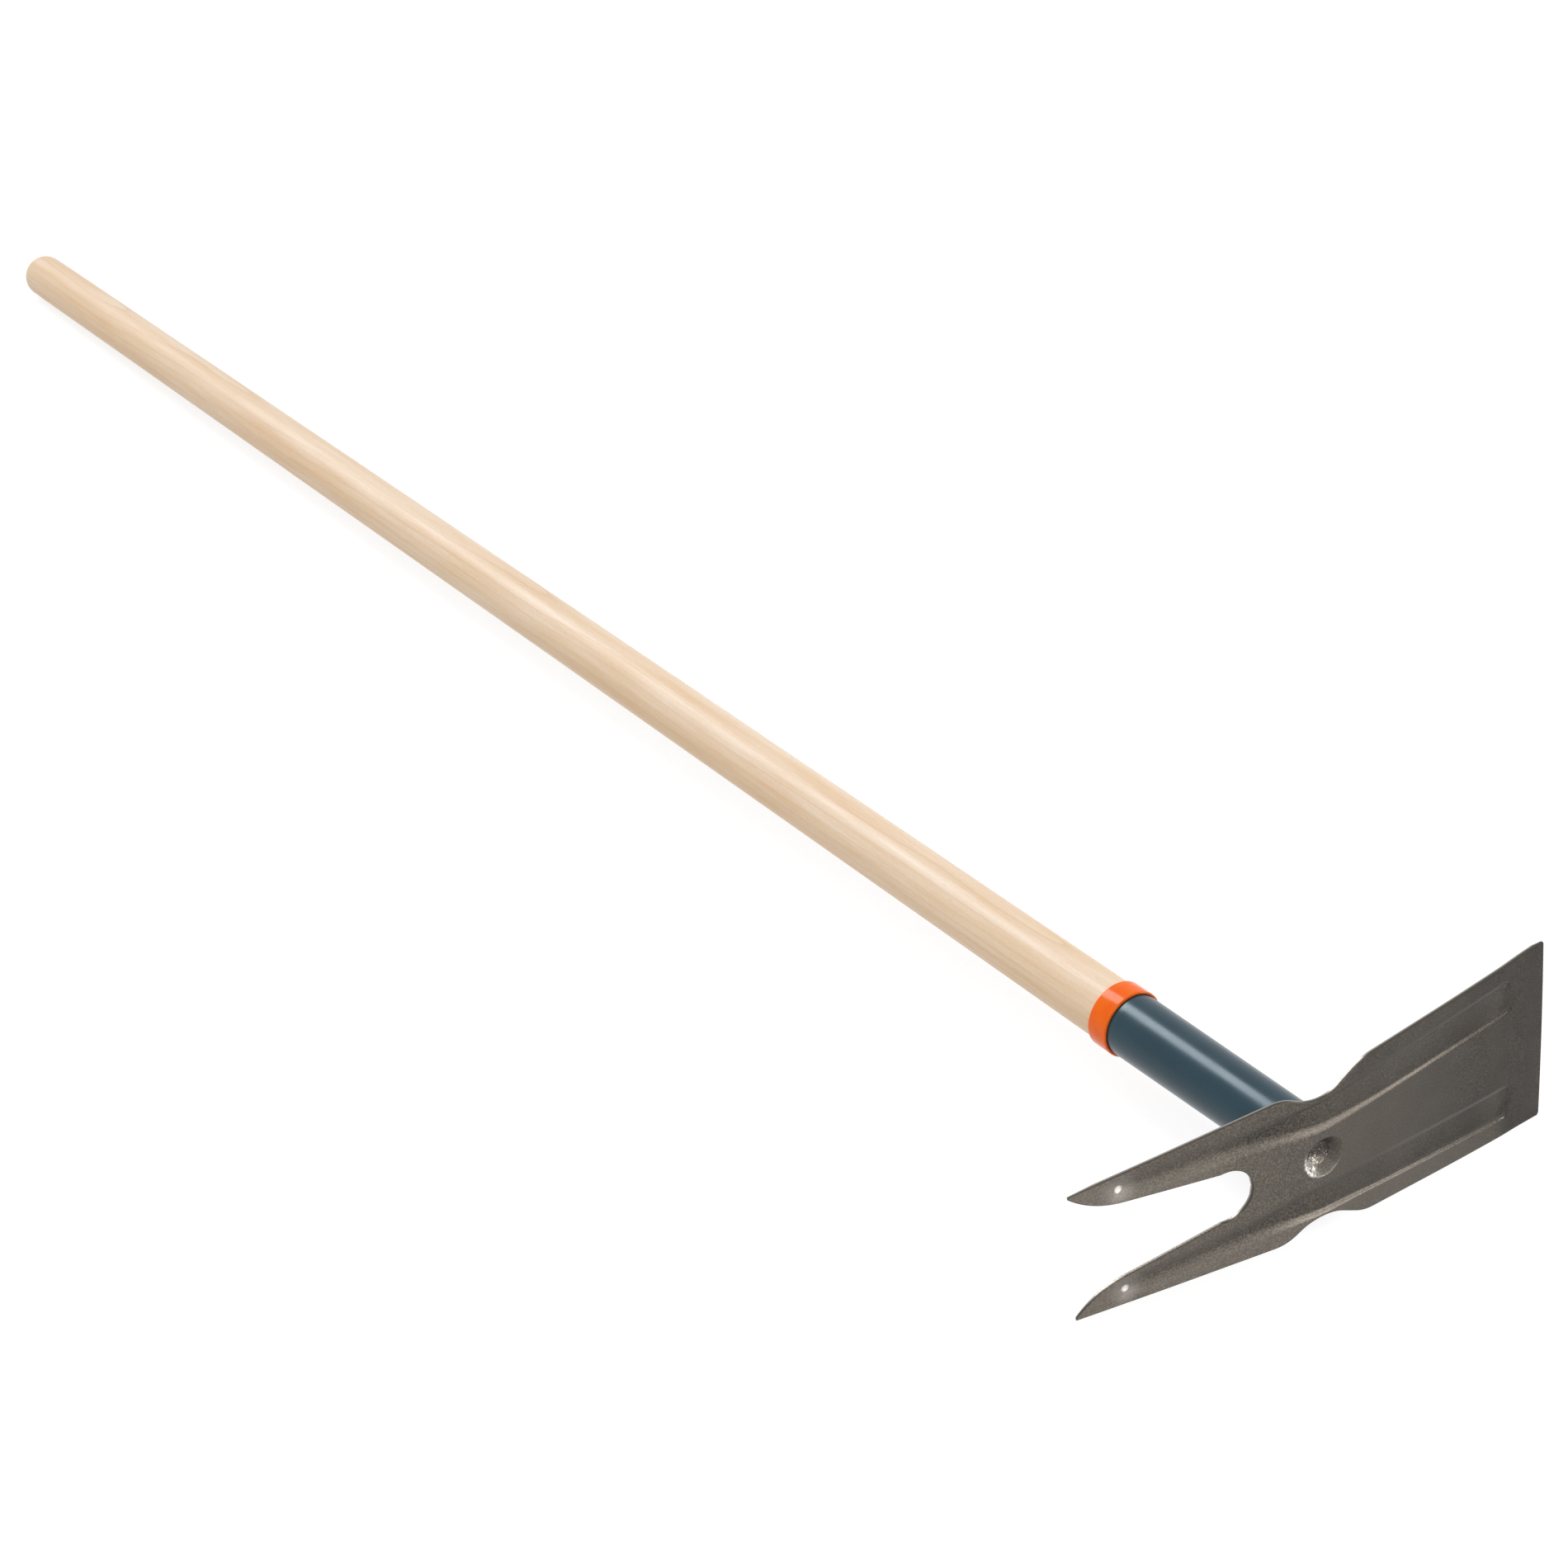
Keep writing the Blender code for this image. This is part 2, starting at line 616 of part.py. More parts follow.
def add_ferrule(frame, material):
    """Ferrule tube, its foot cut to the bend of the plate that it stands on."""
    foot_bore = FERRULE_FOOT_RADIUS - FERRULE_WALL
    rim_bore = FERRULE_RIM_RADIUS - FERRULE_WALL
    chamfer = FERRULE_RIM_CHAMFER
    profile = [
        (foot_bore, 0.0),
        (FERRULE_FOOT_RADIUS, 0.0),
        (FERRULE_RIM_RADIUS, FERRULE_LENGTH - chamfer),
        (FERRULE_RIM_RADIUS - chamfer, FERRULE_LENGTH),
        (rim_bore + chamfer, FERRULE_LENGTH),
        (rim_bore, FERRULE_LENGTH - chamfer),
    ]
    ferrule = add_object("ferrule", turned_shape(profile, closed=True), frame, material)
    reach = FERRULE_FOOT_RADIUS + CUTTER_MARGIN
    seat = [mix(-reach, reach, step / COPE_STEPS) for step in range(COPE_STEPS + 1)]
    section = [(x, front_sweep(x) + PLATE_THICKNESS + SEAT_GAP) for x in seat]
    section += [(reach, -CUTTER_MARGIN), (-reach, -CUTTER_MARGIN)]
    cutter = bmesh.new()
    base = cutter.faces.new([cutter.verts.new((x, y, -reach)) for x, y in section])
    grown = bmesh.ops.extrude_face_region(cutter, geom=[base])
    moved = [item for item in grown["geom"] if isinstance(item, bmesh.types.BMVert)]
    bmesh.ops.translate(cutter, verts=moved, vec=(0.0, 0.0, 2.0 * reach))
    bmesh.ops.recalc_face_normals(cutter, faces=cutter.faces)
    add_boolean(ferrule, as_tool(add_object("ferrule_cope", cutter, frame)), "DIFFERENCE")
    return ferrule


def tenon_radius(y):
    """Radius of the handle's tenon, which follows the inside of the ferrule."""
    return ferrule_radius(y) - FERRULE_WALL - SLIP_GAP


def shoulder_start():
    """Where the handle's full thickness begins, just past the ferrule's rim."""
    return FERRULE_LENGTH + SEAT_GAP


def add_handle(frame, material):
    """Handle: a bored tenon inside the ferrule, a straight shaft and a domed butt."""
    start = handle_start()
    end = start + HANDLE_LENGTH
    bore_end = start + TANG_SPIKE_LENGTH
    profile = [
        (0.0, bore_end),
        (TANG_POINT_RADIUS + SLIP_GAP, bore_end - TANG_POINT_LENGTH + SLIP_GAP),
        (TANG_SPIKE_RADIUS + SLIP_GAP, start),
        (tenon_radius(start) - TENON_CHAMFER, start),
        (tenon_radius(start + TENON_CHAMFER), start + TENON_CHAMFER),
        (tenon_radius(FERRULE_LENGTH), shoulder_start()),
        (HANDLE_RADIUS - SHOULDER_CHAMFER, shoulder_start()),
        (HANDLE_RADIUS, shoulder_start() + SHOULDER_CHAMFER),
    ]
    steps = math.ceil(90.0 / ARC_STEP)
    for step in range(steps + 1):
        angle = math.radians(90.0) * step / steps
        radius = HANDLE_RADIUS * math.cos(angle) if step < steps else 0.0
        profile.append((radius, end - DOME_LENGTH + DOME_LENGTH * math.sin(angle)))
    return add_object("handle", turned_shape(profile), frame, material)


def add_collar(frame, material):
    """Collar: one bore over the ferrule's rim, one over the wood."""
    start = FERRULE_LENGTH - COLLAR_OVERLAP
    end = start + COLLAR_LENGTH
    ferrule_bore = FERRULE_RIM_RADIUS + SLIP_GAP
    handle_bore = HANDLE_RADIUS + SLIP_GAP
    outside = max(ferrule_bore, handle_bore) + COLLAR_WALL
    outer = rounded_path([(ferrule_bore, start), (outside, start), (outside, end), (handle_bore, end)],
                         [COLLAR_EDGE_RADIUS, COLLAR_EDGE_RADIUS], EDGE_ARC_STEP)
    bore = [(handle_bore, shoulder_start()), (ferrule_bore, shoulder_start())]
    return add_object("collar", turned_shape(outer + bore, closed=True), frame, material)


# Laying the hoe down


def evaluated_points(obj, graph):
    """Vertices of the finished piece in the tool frame."""
    mesh = obj.evaluated_get(graph).to_mesh()
    return [vertex.co.copy() for vertex in mesh.vertices]


def resting_rotation(feet):
    """Rotation that puts the lowest point of each of three feet on level ground."""
    up = Vector((0.0, 0.0, 1.0))
    for _ in range(RESTING_PASSES):
        blade, tine, butt = [min(foot, key=lambda point: point.dot(up)) for foot in feet]
        normal = (butt - blade).cross(tine - blade).normalized()
        up = normal if normal.z > 0.0 else -normal
    forward = Vector((0.0, 1.0, 0.0))
    forward = (forward - up * forward.dot(up)).normalized()
    return Matrix((forward.cross(up), forward, up))


def lay_down(frame, plate, handle, pieces):
    """Lay the hoe on its side: blade corner, tine and handle butt touch the ground."""
    bpy.context.view_layer.update()
    graph = bpy.context.evaluated_depsgraph_get()
    plate_points = evaluated_points(plate, graph)
    middle = HANDLE_LENGTH / 2.0
    feet = [
        [point for point in plate_points if point.x > FORK_BOTTOM],
        [point for point in plate_points if point.x < -FORK_BOTTOM],
        [point for point in evaluated_points(handle, graph) if point.y > middle],
    ]
    rotation = resting_rotation(feet)
    points = [rotation @ point for piece in pieces for point in evaluated_points(piece, graph)]
    low = Vector([min(point[axis] for point in points) for axis in range(3)])
    high = Vector([max(point[axis] for point in points) for axis in range(3)])
    centre = (low + high) / 2.0
    shift = Matrix.Translation((-centre.x, -centre.y, -low.z))
    frame.matrix_world = shift @ rotation.to_4x4()


def main():
    """Build the hoe."""
    for obj in list(bpy.data.objects):
        bpy.data.objects.remove(obj, do_unlink=True)

    steel = make_material("bare_steel", (0.105, 0.092, 0.078), 0.45, 0.85)
    forged = make_material("forged_steel", (0.16, 0.15, 0.14), 0.40, 0.90)
    painted = make_material("blue_grey_paint", (0.045, 0.075, 0.098), 0.32, 0.0)
    plastic = make_material("orange_plastic", (0.90, 0.155, 0.018), 0.30, 0.0)
    wood = make_material("lacquered_wood", (0.80, 0.58, 0.36), 0.40, 0.0)

    frame = bpy.data.objects.new("hoe_frame", None)
    bpy.context.scene.collection.objects.link(frame)
    plate = add_head_plate(frame, steel)
    tang = add_tang(frame, forged)
    ferrule = add_ferrule(frame, painted)
    collar = add_collar(frame, plastic)
    handle = add_handle(frame, wood)
    lay_down(frame, plate, handle, [plate, tang, ferrule, collar, handle])


main()
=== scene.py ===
"""A two-prong garden hoe, lying on its side on a pale studio floor.

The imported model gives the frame. Each of its five pieces is made again here with finer
surfaces and its own finish, in the same place: the stamped head plate, the tang that is peened
over in the plate's dish, the painted ferrule, the moulded collar and the lacquered handle.
Outlines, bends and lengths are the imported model's. The grooves, the dish and the tang's head
follow the photograph more closely, and lie up to 1.5 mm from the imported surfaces.

Sizes are in millimetres in the hoe's own frame. Its origin is where the handle's axis meets
the front of the head, +X runs to the blade's cutting edge, -X to the points of the tines,
+Y along the handle and +Z across the head.
"""

from __future__ import annotations

import logging
import math
from dataclasses import dataclass, field
from enum import Enum
from typing import Sequence

import bmesh
import bpy
import numpy as np
from mathutils import Matrix, Vector, noise


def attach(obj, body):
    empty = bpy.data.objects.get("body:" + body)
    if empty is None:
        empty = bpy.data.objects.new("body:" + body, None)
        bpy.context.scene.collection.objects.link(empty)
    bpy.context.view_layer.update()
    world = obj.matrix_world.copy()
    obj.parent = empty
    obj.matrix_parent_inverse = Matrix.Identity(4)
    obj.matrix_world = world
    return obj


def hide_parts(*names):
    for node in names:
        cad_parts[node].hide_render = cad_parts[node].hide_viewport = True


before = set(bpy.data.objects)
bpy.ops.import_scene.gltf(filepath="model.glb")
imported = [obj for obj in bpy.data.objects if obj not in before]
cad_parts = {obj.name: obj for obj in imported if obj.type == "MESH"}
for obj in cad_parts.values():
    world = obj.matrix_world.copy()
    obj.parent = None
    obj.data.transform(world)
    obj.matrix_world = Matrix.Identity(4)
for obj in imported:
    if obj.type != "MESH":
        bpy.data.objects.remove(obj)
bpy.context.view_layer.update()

log = logging.getLogger("two_prong_hoe")

METRES = 0.001                  # in one millimetre
FRAME_PIXELS = 1900.0           # width and height of the photograph's frame
FILM_WIDTH = 36.0               # millimetres

NodeInput = bpy.types.NodeSocket | float | tuple[float, ...]


class Mark(Enum):
    """Names of the point attributes that tell a finish how the metal was worked, and where light and shade
    are painted on it.
    """

    GROOVE_SHADE = "pressed"
    SHEARED = "sheared"
    SHEAR_DEPTH = "shear_depth"
    BRIGHT_METAL_AND_HIGHLIGHT = "bright_metal_and_highlight"
    PAINTED_LIGHT_AND_WEAR = "painted_light_and_wear"


# Numbers


def mix(first: float, second: float, share: float) -> float:
    """Value that lies the given share of the way from first to second."""
    return first + (second - first) * share


def tan_deg(angle: float) -> float:
    """Tangent of an angle in degrees."""
    return math.tan(math.radians(angle))


def smoothstep(value: np.ndarray | float) -> np.ndarray | float:
    """S-shaped step from 0 to 1."""
    value = np.clip(value, 0.0, 1.0)
    return value * value * (3.0 - 2.0 * value)


def ramp(distance: np.ndarray, half_length: float) -> np.ndarray:
    """Zero before a corner at 0 and the distance after it, rounded off near it.

    Args:
        distance: Distances past the corner.
        half_length: Half the length of the rounded stretch.

    Returns:
        The rounded ramp at each distance.
    """
    near = np.clip(distance + half_length, 0.0, 2.0 * half_length) ** 2 / (4.0 * half_length)
    return np.where(distance >= half_length, distance, near)


def height_at(line: np.ndarray, x: float) -> float:
    """Second coordinate at x of a line through points in order of rising x."""
    return float(np.interp(x, line[:, 0], line[:, 1]))


def rounded_path(corners: Sequence[tuple[float, float]], radii: Sequence[float],
                 arc_step: float) -> list[Vector]:
    """Line through the corners, with each inner corner rounded.

    Args:
        corners: Corners of the line in order.
        radii: Radius of each inner corner. Zero keeps the corner sharp.
        arc_step: Degrees between two points of an arc.

    Returns:
        Points of the rounded line.
    """
    points = [Vector(corner) for corner in corners]
    path = [points[0]]
    for before, corner, after, radius in zip(points, points[1:], points[2:], radii):
        if radius == 0.0:
            path.append(corner)
            continue
        to_before = (before - corner).normalized()
        to_after = (after - corner).normalized()
        half_angle = to_before.angle(to_after) / 2.0
        turn = math.pi - 2.0 * half_angle
        centre = corner + (to_before + to_after).normalized() * (radius / math.sin(half_angle))
        start = corner + to_before * (radius / math.tan(half_angle)) - centre
        side = to_before - start.normalized() * to_before.dot(start.normalized())
        steps = max(3, math.ceil(math.degrees(turn) / arc_step))
        for step in range(steps + 1):
            angle = turn * step / steps
            path.append(centre + start * math.cos(angle) - side.normalized() * (radius * math.sin(angle)))
    path.append(points[-1])
    return path


# Where the hoe lies


@dataclass(frozen=True)
class Laying:
    """How the hoe lies on the floor: the blade's corner, a tine and the butt touch it."""

    lean: float = 3.31943       # degrees about the handle
    drop: float = 1.07363       # degrees that the handle falls towards its butt
    origin: tuple[float, float, float] = (-4.9046, -690.0566, 40.6176)     # millimetres

    def matrix(self) -> Matrix:
        """Work out where the hoe's own frame lies.

        Returns:
            Matrix from the hoe's own frame to the floor's, both in metres.
        """
        drop = Matrix.Rotation(math.radians(-self.drop), 4, "X")
        lean = Matrix.Rotation(math.radians(-self.lean), 4, "Y")
        turn = drop @ lean
        return Matrix.Translation(Vector(self.origin) * METRES) @ turn


LAYING = Laying()


# Finishes


def linear(code: str) -> tuple[float, float, float, float]:
    """Turn an sRGB hex colour into the linear colour that a shader takes.

    Args:
        code: Six hex digits after a hash sign.

    Returns:
        Linear red, green and blue, and an alpha of 1.
    """
    channels = [int(code[start:start + 2], 16) / 255.0 for start in (1, 3, 5)]
    straight = [value / 12.92 if value <= 0.04045 else ((value + 0.055) / 1.055) ** 2.4
                for value in channels]
    return (*straight, 1.0)


def pattern_scale(size: float) -> float:
    """Texture scale at which one feature of a pattern is this many millimetres across."""
    return 1.0 / (size * METRES)


def add_node(tree: bpy.types.NodeTree, kind: str, inputs: dict[str | int, NodeInput] | None = None,
             **settings: object) -> bpy.types.Node:
    """Add a node to a tree, set it up and link it.

    Args:
        tree: Tree that gets the node.
        kind: Type name of the node.
        inputs: Value or source socket of each input, by the input's name or number.
        settings: Attributes of the node.

    Returns:
        The new node.
    """
    node = tree.nodes.new(kind)
    for name, value in settings.items():
        setattr(node, name, value)
    for key, value in (inputs or {}).items():
        if isinstance(value, bpy.types.NodeSocket):
            tree.links.new(value, node.inputs[key])
        else:
            node.inputs[key].default_value = value
    return node


def own_place(tree: bpy.types.NodeTree) -> bpy.types.NodeSocket:
    """Find the shaded point's place in the hoe's own frame.

    Args:
        tree: Tree of the material.

    Returns:
        Place along the hoe's own axes, in metres.
    """
    laid = LAYING.matrix()
    place = add_node(tree, "ShaderNodeMapping", {
        "Vector": add_node(tree, "ShaderNodeTexCoord").outputs["Object"],
        "Location": tuple(laid.translation), "Rotation": tuple(laid.to_euler())}, vector_type="TEXTURE")
    return place.outputs["Vector"]


def set_ramp(node: bpy.types.Node, stops: Sequence[tuple[float, str]]) -> bpy.types.NodeSocket:
    """Give a colour ramp its stops.

    Args:
        node: Colour ramp node.
        stops: Position and hex colour of each stop, in order.

    Returns:
        The ramp's colour output.
    """
    elements = node.color_ramp.elements
    while len(elements) < len(stops):
        elements.new(0.5)
    for element, (position, code) in zip(elements, stops):
        element.position = position
        element.color = linear(code)
    return node.outputs["Color"]


def new_material(name: str, settings: dict[str, NodeInput]) -> tuple[bpy.types.Material, bpy.types.Node]:
    """Make a material with a principled shader.

    Args:
        name: Name of the material.
        settings: Values of the shader's inputs.

    Returns:
        The material and its shader node.
    """
    material = bpy.data.materials.new(name)
    material.use_nodes = True
    shader = material.node_tree.nodes["Principled BSDF"]
    for key, value in settings.items():
        shader.inputs[key].default_value = value
    return material, shader


@dataclass(frozen=True)
class Grain:
    """Noise drawn out along one way, such as fibre in wood or the lines of a grinding belt."""

    size: tuple[float, float, float]    # of one feature along X, Y and Z, in millimetres
    detail: float
    roughness: float = 0.5

    def draw(self, tree: bpy.types.NodeTree, place: bpy.types.NodeSocket) -> bpy.types.NodeSocket:
        """Add the noise to a material.

        Args:
            tree: Tree of the material.
            place: Place of the shaded point, in metres.

        Returns:
            The noise, around 0.5.
        """
        drawn_out = add_node(tree, "ShaderNodeMapping", {
            "Vector": place, "Scale": tuple(pattern_scale(side) for side in self.size)})
        pattern = add_node(tree, "ShaderNodeTexNoise", {
            "Vector": drawn_out.outputs["Vector"], "Scale": 1.0, "Detail": self.detail,
            "Roughness": self.roughness})
        return pattern.outputs["Fac"]


@dataclass(frozen=True)
class BlastedSteel:
    """Hot-rolled carbon steel sheet, stamped, shot-blasted and dipped in clear lacquer.

    To the eye it is a warm dark grey with a fine sparkle. The blasting is coarser on the tines
    and round the neck than on the blade, where faint grinding lines run along the cutting edge.
    Its sheared edges show bare metal with a painted shade band and a painted highlight line. Painted
    highlights lie on the tines' dimples, and on the struck part of the dish's wall, whose metal is brighter
    besides.
    """

    name: str = "blasted_steel_sheet"
    sheet: str = "#544f49"
    # The sheared edge's colours: painted shade near the front face, a painted highlight line further back.
    shear_dark: str = "#4d4842"
    shear_light: str = "#8d8983"
    bright_metal_and_highlight: str = "#e4dfd7"
    blade_roughness: float = 0.30
    tine_roughness: float = 0.60
    worked_roughness: float = 0.30      # of sheared metal, and of bright metal under painted highlights
    fine_grit: float = 0.55             # sizes of patterns in millimetres
    coarse_grit: float = 0.85
    lacquer_patch: float = 12.0
    grinding: Grain = Grain((1.2, 4.0, 40.0), 2.0)
    blade_contrast: float = 1.2         # of the sparkle's tone
    tine_contrast: float = 2.6
    blade_relief: float = 0.35          # of the grit's height
    tine_relief: float = 2.6
    # Painted shade in the grooves, and painted light and shade with some wear elsewhere, come in by these two
    # marks.
    groove_shade_tone: float = -0.20         # change of tone where a mark is 1
    painted_light_and_wear_tone: float = 0.34

    def material(self) -> bpy.types.Material:
        """Make the material.

        Returns:
            The new material, which reads the plate's marks.
        """
        material, shader = new_material(self.name, {"Metallic": 1.0})
        tree = material.node_tree
        place = own_place(tree)
        along = add_node(tree, "ShaderNodeSeparateXYZ", {0: place})

        # The blasting grows coarse between 50 mm out on the blade and 20 mm past the neck.
        blasted = add_node(tree, "ShaderNodeMapRange", {
            "Value": along.outputs["X"], "From Min": 0.050, "From Max": -0.020},
            interpolation_type="SMOOTHSTEP")

        # Grit of 0.2 to 0.5 mm, drawn at 0.55 and 0.85 mm so that it shows at this distance.
        fine = add_node(tree, "ShaderNodeTexNoise", {
            "Vector": place, "Scale": pattern_scale(self.fine_grit), "Detail": 1.0, "Roughness": 0.6})
        coarse = add_node(tree, "ShaderNodeTexNoise", {
            "Vector": place, "Scale": pattern_scale(self.coarse_grit), "Detail": 2.0, "Roughness": 0.7})
        grit = add_node(tree, "ShaderNodeMix", {
            "Factor": blasted.outputs["Result"], "A": fine.outputs["Fac"], "B": coarse.outputs["Fac"]})
        spread = add_node(tree, "ShaderNodeMapRange", {
            "Value": blasted.outputs["Result"],
            "To Min": self.blade_contrast, "To Max": self.tine_contrast})
        centred = add_node(tree, "ShaderNodeMapRange", {
            "Value": grit.outputs["Result"], "From Min": 0.42, "From Max": 0.72,
            "To Min": -0.09, "To Max": 0.28})
        sparkle = add_node(tree, "ShaderNodeMath", {
            0: centred.outputs["Result"], 1: spread.outputs["Result"]}, operation="MULTIPLY")

        # Patches of 12 mm where the lacquer lies thicker or thinner.
        cloud = add_node(tree, "ShaderNodeTexNoise", {
            "Vector": place, "Scale": pattern_scale(self.lacquer_patch), "Detail": 3.0, "Roughness": 0.55})
        clouded = add_node(tree, "ShaderNodeMapRange", {
            "Value": cloud.outputs["Fac"], "From Min": 0.3, "From Max": 0.7, "To Min": -0.05, "To Max": 0.05})

        # Grinding lines 1.2 mm apart and some 40 mm long, which come in 55 mm before the edge.
        near_edge = add_node(tree, "ShaderNodeMapRange", {
            "Value": along.outputs["X"], "From Min": 0.075, "From Max": 0.112, "To Min": 0.0, "To Max": 0.10})
        lines = add_node(tree, "ShaderNodeMath", {0: self.grinding.draw(tree, place), 1: 0.5},
                         operation="SUBTRACT")
        ground = add_node(tree, "ShaderNodeMath", {
            0: lines.outputs["Value"], 1: near_edge.outputs["Result"]}, operation="MULTIPLY")

        # The sheet is painted darker towards the cutting edge and lighter towards the points: partly the
        # coarser blasting of the tines, partly painted light. The marks add painted shade in the grooves and
        # painted light and shade elsewhere.
        darker = add_node(tree, "ShaderNodeMapRange", {
            "Value": along.outputs["X"], "From Min": 0.030, "From Max": 0.125,
            "To Min": 0.0, "To Max": -0.50}, interpolation_type="SMOOTHSTEP")
        lighter = add_node(tree, "ShaderNodeMapRange", {
            "Value": along.outputs["X"], "From Min": 0.030, "From Max": -0.110,
            "To Min": 0.0, "To Max": 0.45})
        painted_light_slope = add_node(tree, "ShaderNodeMath", {
            0: darker.outputs["Result"], 1: lighter.outputs["Result"]}, operation="ADD")
        marks = {mark: add_node(tree, "ShaderNodeAttribute", attribute_name=mark.value).outputs["Fac"]
                 for mark in Mark}
        tone = painted_light_slope.outputs["Value"]
        for mark, change in ((Mark.PAINTED_LIGHT_AND_WEAR, self.painted_light_and_wear_tone), (Mark.GROOVE_SHADE, self.groove_shade_tone)):
            tone = add_node(tree, "ShaderNodeMath", {0: marks[mark], 1: change, 2: tone},
                            operation="MULTIPLY_ADD").outputs["Value"]
        for part in (sparkle.outputs["Value"], clouded.outputs["Result"], ground.outputs["Value"]):
            tone = add_node(tree, "ShaderNodeMath", {0: tone, 1: part}, operation="ADD").outputs["Value"]
        strength = add_node(tree, "ShaderNodeMath", {0: tone, 1: 1.0}, operation="ADD")
        sheet = add_node(tree, "ShaderNodeVectorMath", {
            0: linear(self.sheet)[:3], "Scale": strength.outputs["Value"]}, operation="SCALE")

        # Bright metal and painted highlights go over the sheet. A sheared edge is bare metal, painted dark
        # near the front face as painted shade, and lighter further back as a painted highlight line.
        painted_light_and_wear = add_node(tree, "ShaderNodeMix", {
            "Factor": marks[Mark.BRIGHT_METAL_AND_HIGHLIGHT], "A": sheet.outputs["Vector"], "B": linear(self.bright_metal_and_highlight)},
            data_type="RGBA")
        cut = set_ramp(add_node(tree, "ShaderNodeValToRGB", {"Fac": marks[Mark.SHEAR_DEPTH]}), [
            (0.45, self.shear_dark), (0.68, self.shear_light)])
        colour = add_node(tree, "ShaderNodeMix", {
            "Factor": marks[Mark.SHEARED], "A": painted_light_and_wear.outputs["Result"], "B": cut}, data_type="RGBA")
        tree.links.new(colour.outputs["Result"], shader.inputs["Base Color"])

        # Coarser blasting leaves the tines duller than the blade, so they catch more of the light.
        dull = add_node(tree, "ShaderNodeMapRange", {
            "Value": along.outputs["X"], "From Min": 0.060, "From Max": -0.070,
            "To Min": self.blade_roughness, "To Max": self.tine_roughness})
        rough = add_node(tree, "ShaderNodeMath", {
            0: centred.outputs["Result"], 1: 0.25, 2: dull.outputs["Result"]}, operation="MULTIPLY_ADD")
        smooth = add_node(tree, "ShaderNodeMath", {
            0: marks[Mark.BRIGHT_METAL_AND_HIGHLIGHT], 1: marks[Mark.SHEARED]}, operation="MAXIMUM")
        worked = add_node(tree, "ShaderNodeMix", {
            "Factor": smooth.outputs["Value"], "A": rough.outputs["Value"], "B": self.worked_roughness})
        tree.links.new(worked.outputs["Result"], shader.inputs["Roughness"])
        relief = add_node(tree, "ShaderNodeMapRange", {
            "Value": blasted.outputs["Result"], "To Min": self.blade_relief, "To Max": self.tine_relief})
        height = add_node(tree, "ShaderNodeMath", {
            0: grit.outputs["Result"], 1: relief.outputs["Result"]}, operation="MULTIPLY")
        bump = add_node(tree, "ShaderNodeBump", {
            "Strength": 0.15, "Distance": 0.0003, "Height": height.outputs["Value"]})
        tree.links.new(bump.outputs["Normal"], shader.inputs["Normal"])
        return material


@dataclass(frozen=True)
class PeenedSteel:
    """Forged carbon steel, hammered cold over the plate.

    The hammer leaves bright facets with scale still dark in the folds between them, and the side low and
    towards the fork is painted lighter as painted light.
    """

    name: str = "peened_steel"
    facet: str = "#7a746c"
    fold: str = "#3d3935"
    painted_lit_side: str = "#c4beb5"
    roughness: float = 0.42
    hammer_mark: float = 1.6            # sizes of patterns in millimetres
    scale_grain: float = 0.7
    painted_light_towards: tuple[float, float, float] = (-45.0, 0.0, -135.0)      # painted light: tone gained per metre towards the lit side

    def material(self) -> bpy.types.Material:
        """Make the material.

        Returns:
            The new material.
        """
        material, shader = new_material(self.name, {"Metallic": 1.0, "Roughness": self.roughness})
        tree = material.node_tree
        place = own_place(tree)

        # Folds between hammer marks of about 1.6 mm, over the scale's grain of 0.7 mm.
        marks = add_node(tree, "ShaderNodeTexVoronoi", {
            "Vector": place, "Scale": pattern_scale(self.hammer_mark)}, feature="DISTANCE_TO_EDGE")
        folded = add_node(tree, "ShaderNodeMapRange", {
            "Value": marks.outputs["Distance"], "From Min": 0.0, "From Max": 0.16})
        grain = add_node(tree, "ShaderNodeTexNoise", {
            "Vector": place, "Scale": pattern_scale(self.scale_grain), "Detail": 3.0, "Roughness": 0.7})
        mottled = add_node(tree, "ShaderNodeMath", {
            0: folded.outputs["Result"], 1: grain.outputs["Fac"]}, operation="MULTIPLY")

        # Painted light: the part low and to the fork's side is painted bright, on top of the hammer marks.
        painted_lit_side = add_node(tree, "ShaderNodeVectorMath", {0: place, 1: self.painted_light_towards},
                          operation="DOT_PRODUCT")
        worked = add_node(tree, "ShaderNodeMath", {
            0: mottled.outputs["Value"], 1: painted_lit_side.outputs["Value"]}, operation="ADD")
        colour = set_ramp(add_node(tree, "ShaderNodeValToRGB", {"Fac": worked.outputs["Value"]}), [
            (0.10, self.fold), (0.62, self.facet), (1.0, self.painted_lit_side)])
        tree.links.new(colour, shader.inputs["Base Color"])
        bump = add_node(tree, "ShaderNodeBump", {
            "Strength": 0.25, "Distance": 0.0003, "Height": mottled.outputs["Value"]})
        tree.links.new(bump.outputs["Normal"], shader.inputs["Normal"])
        return material


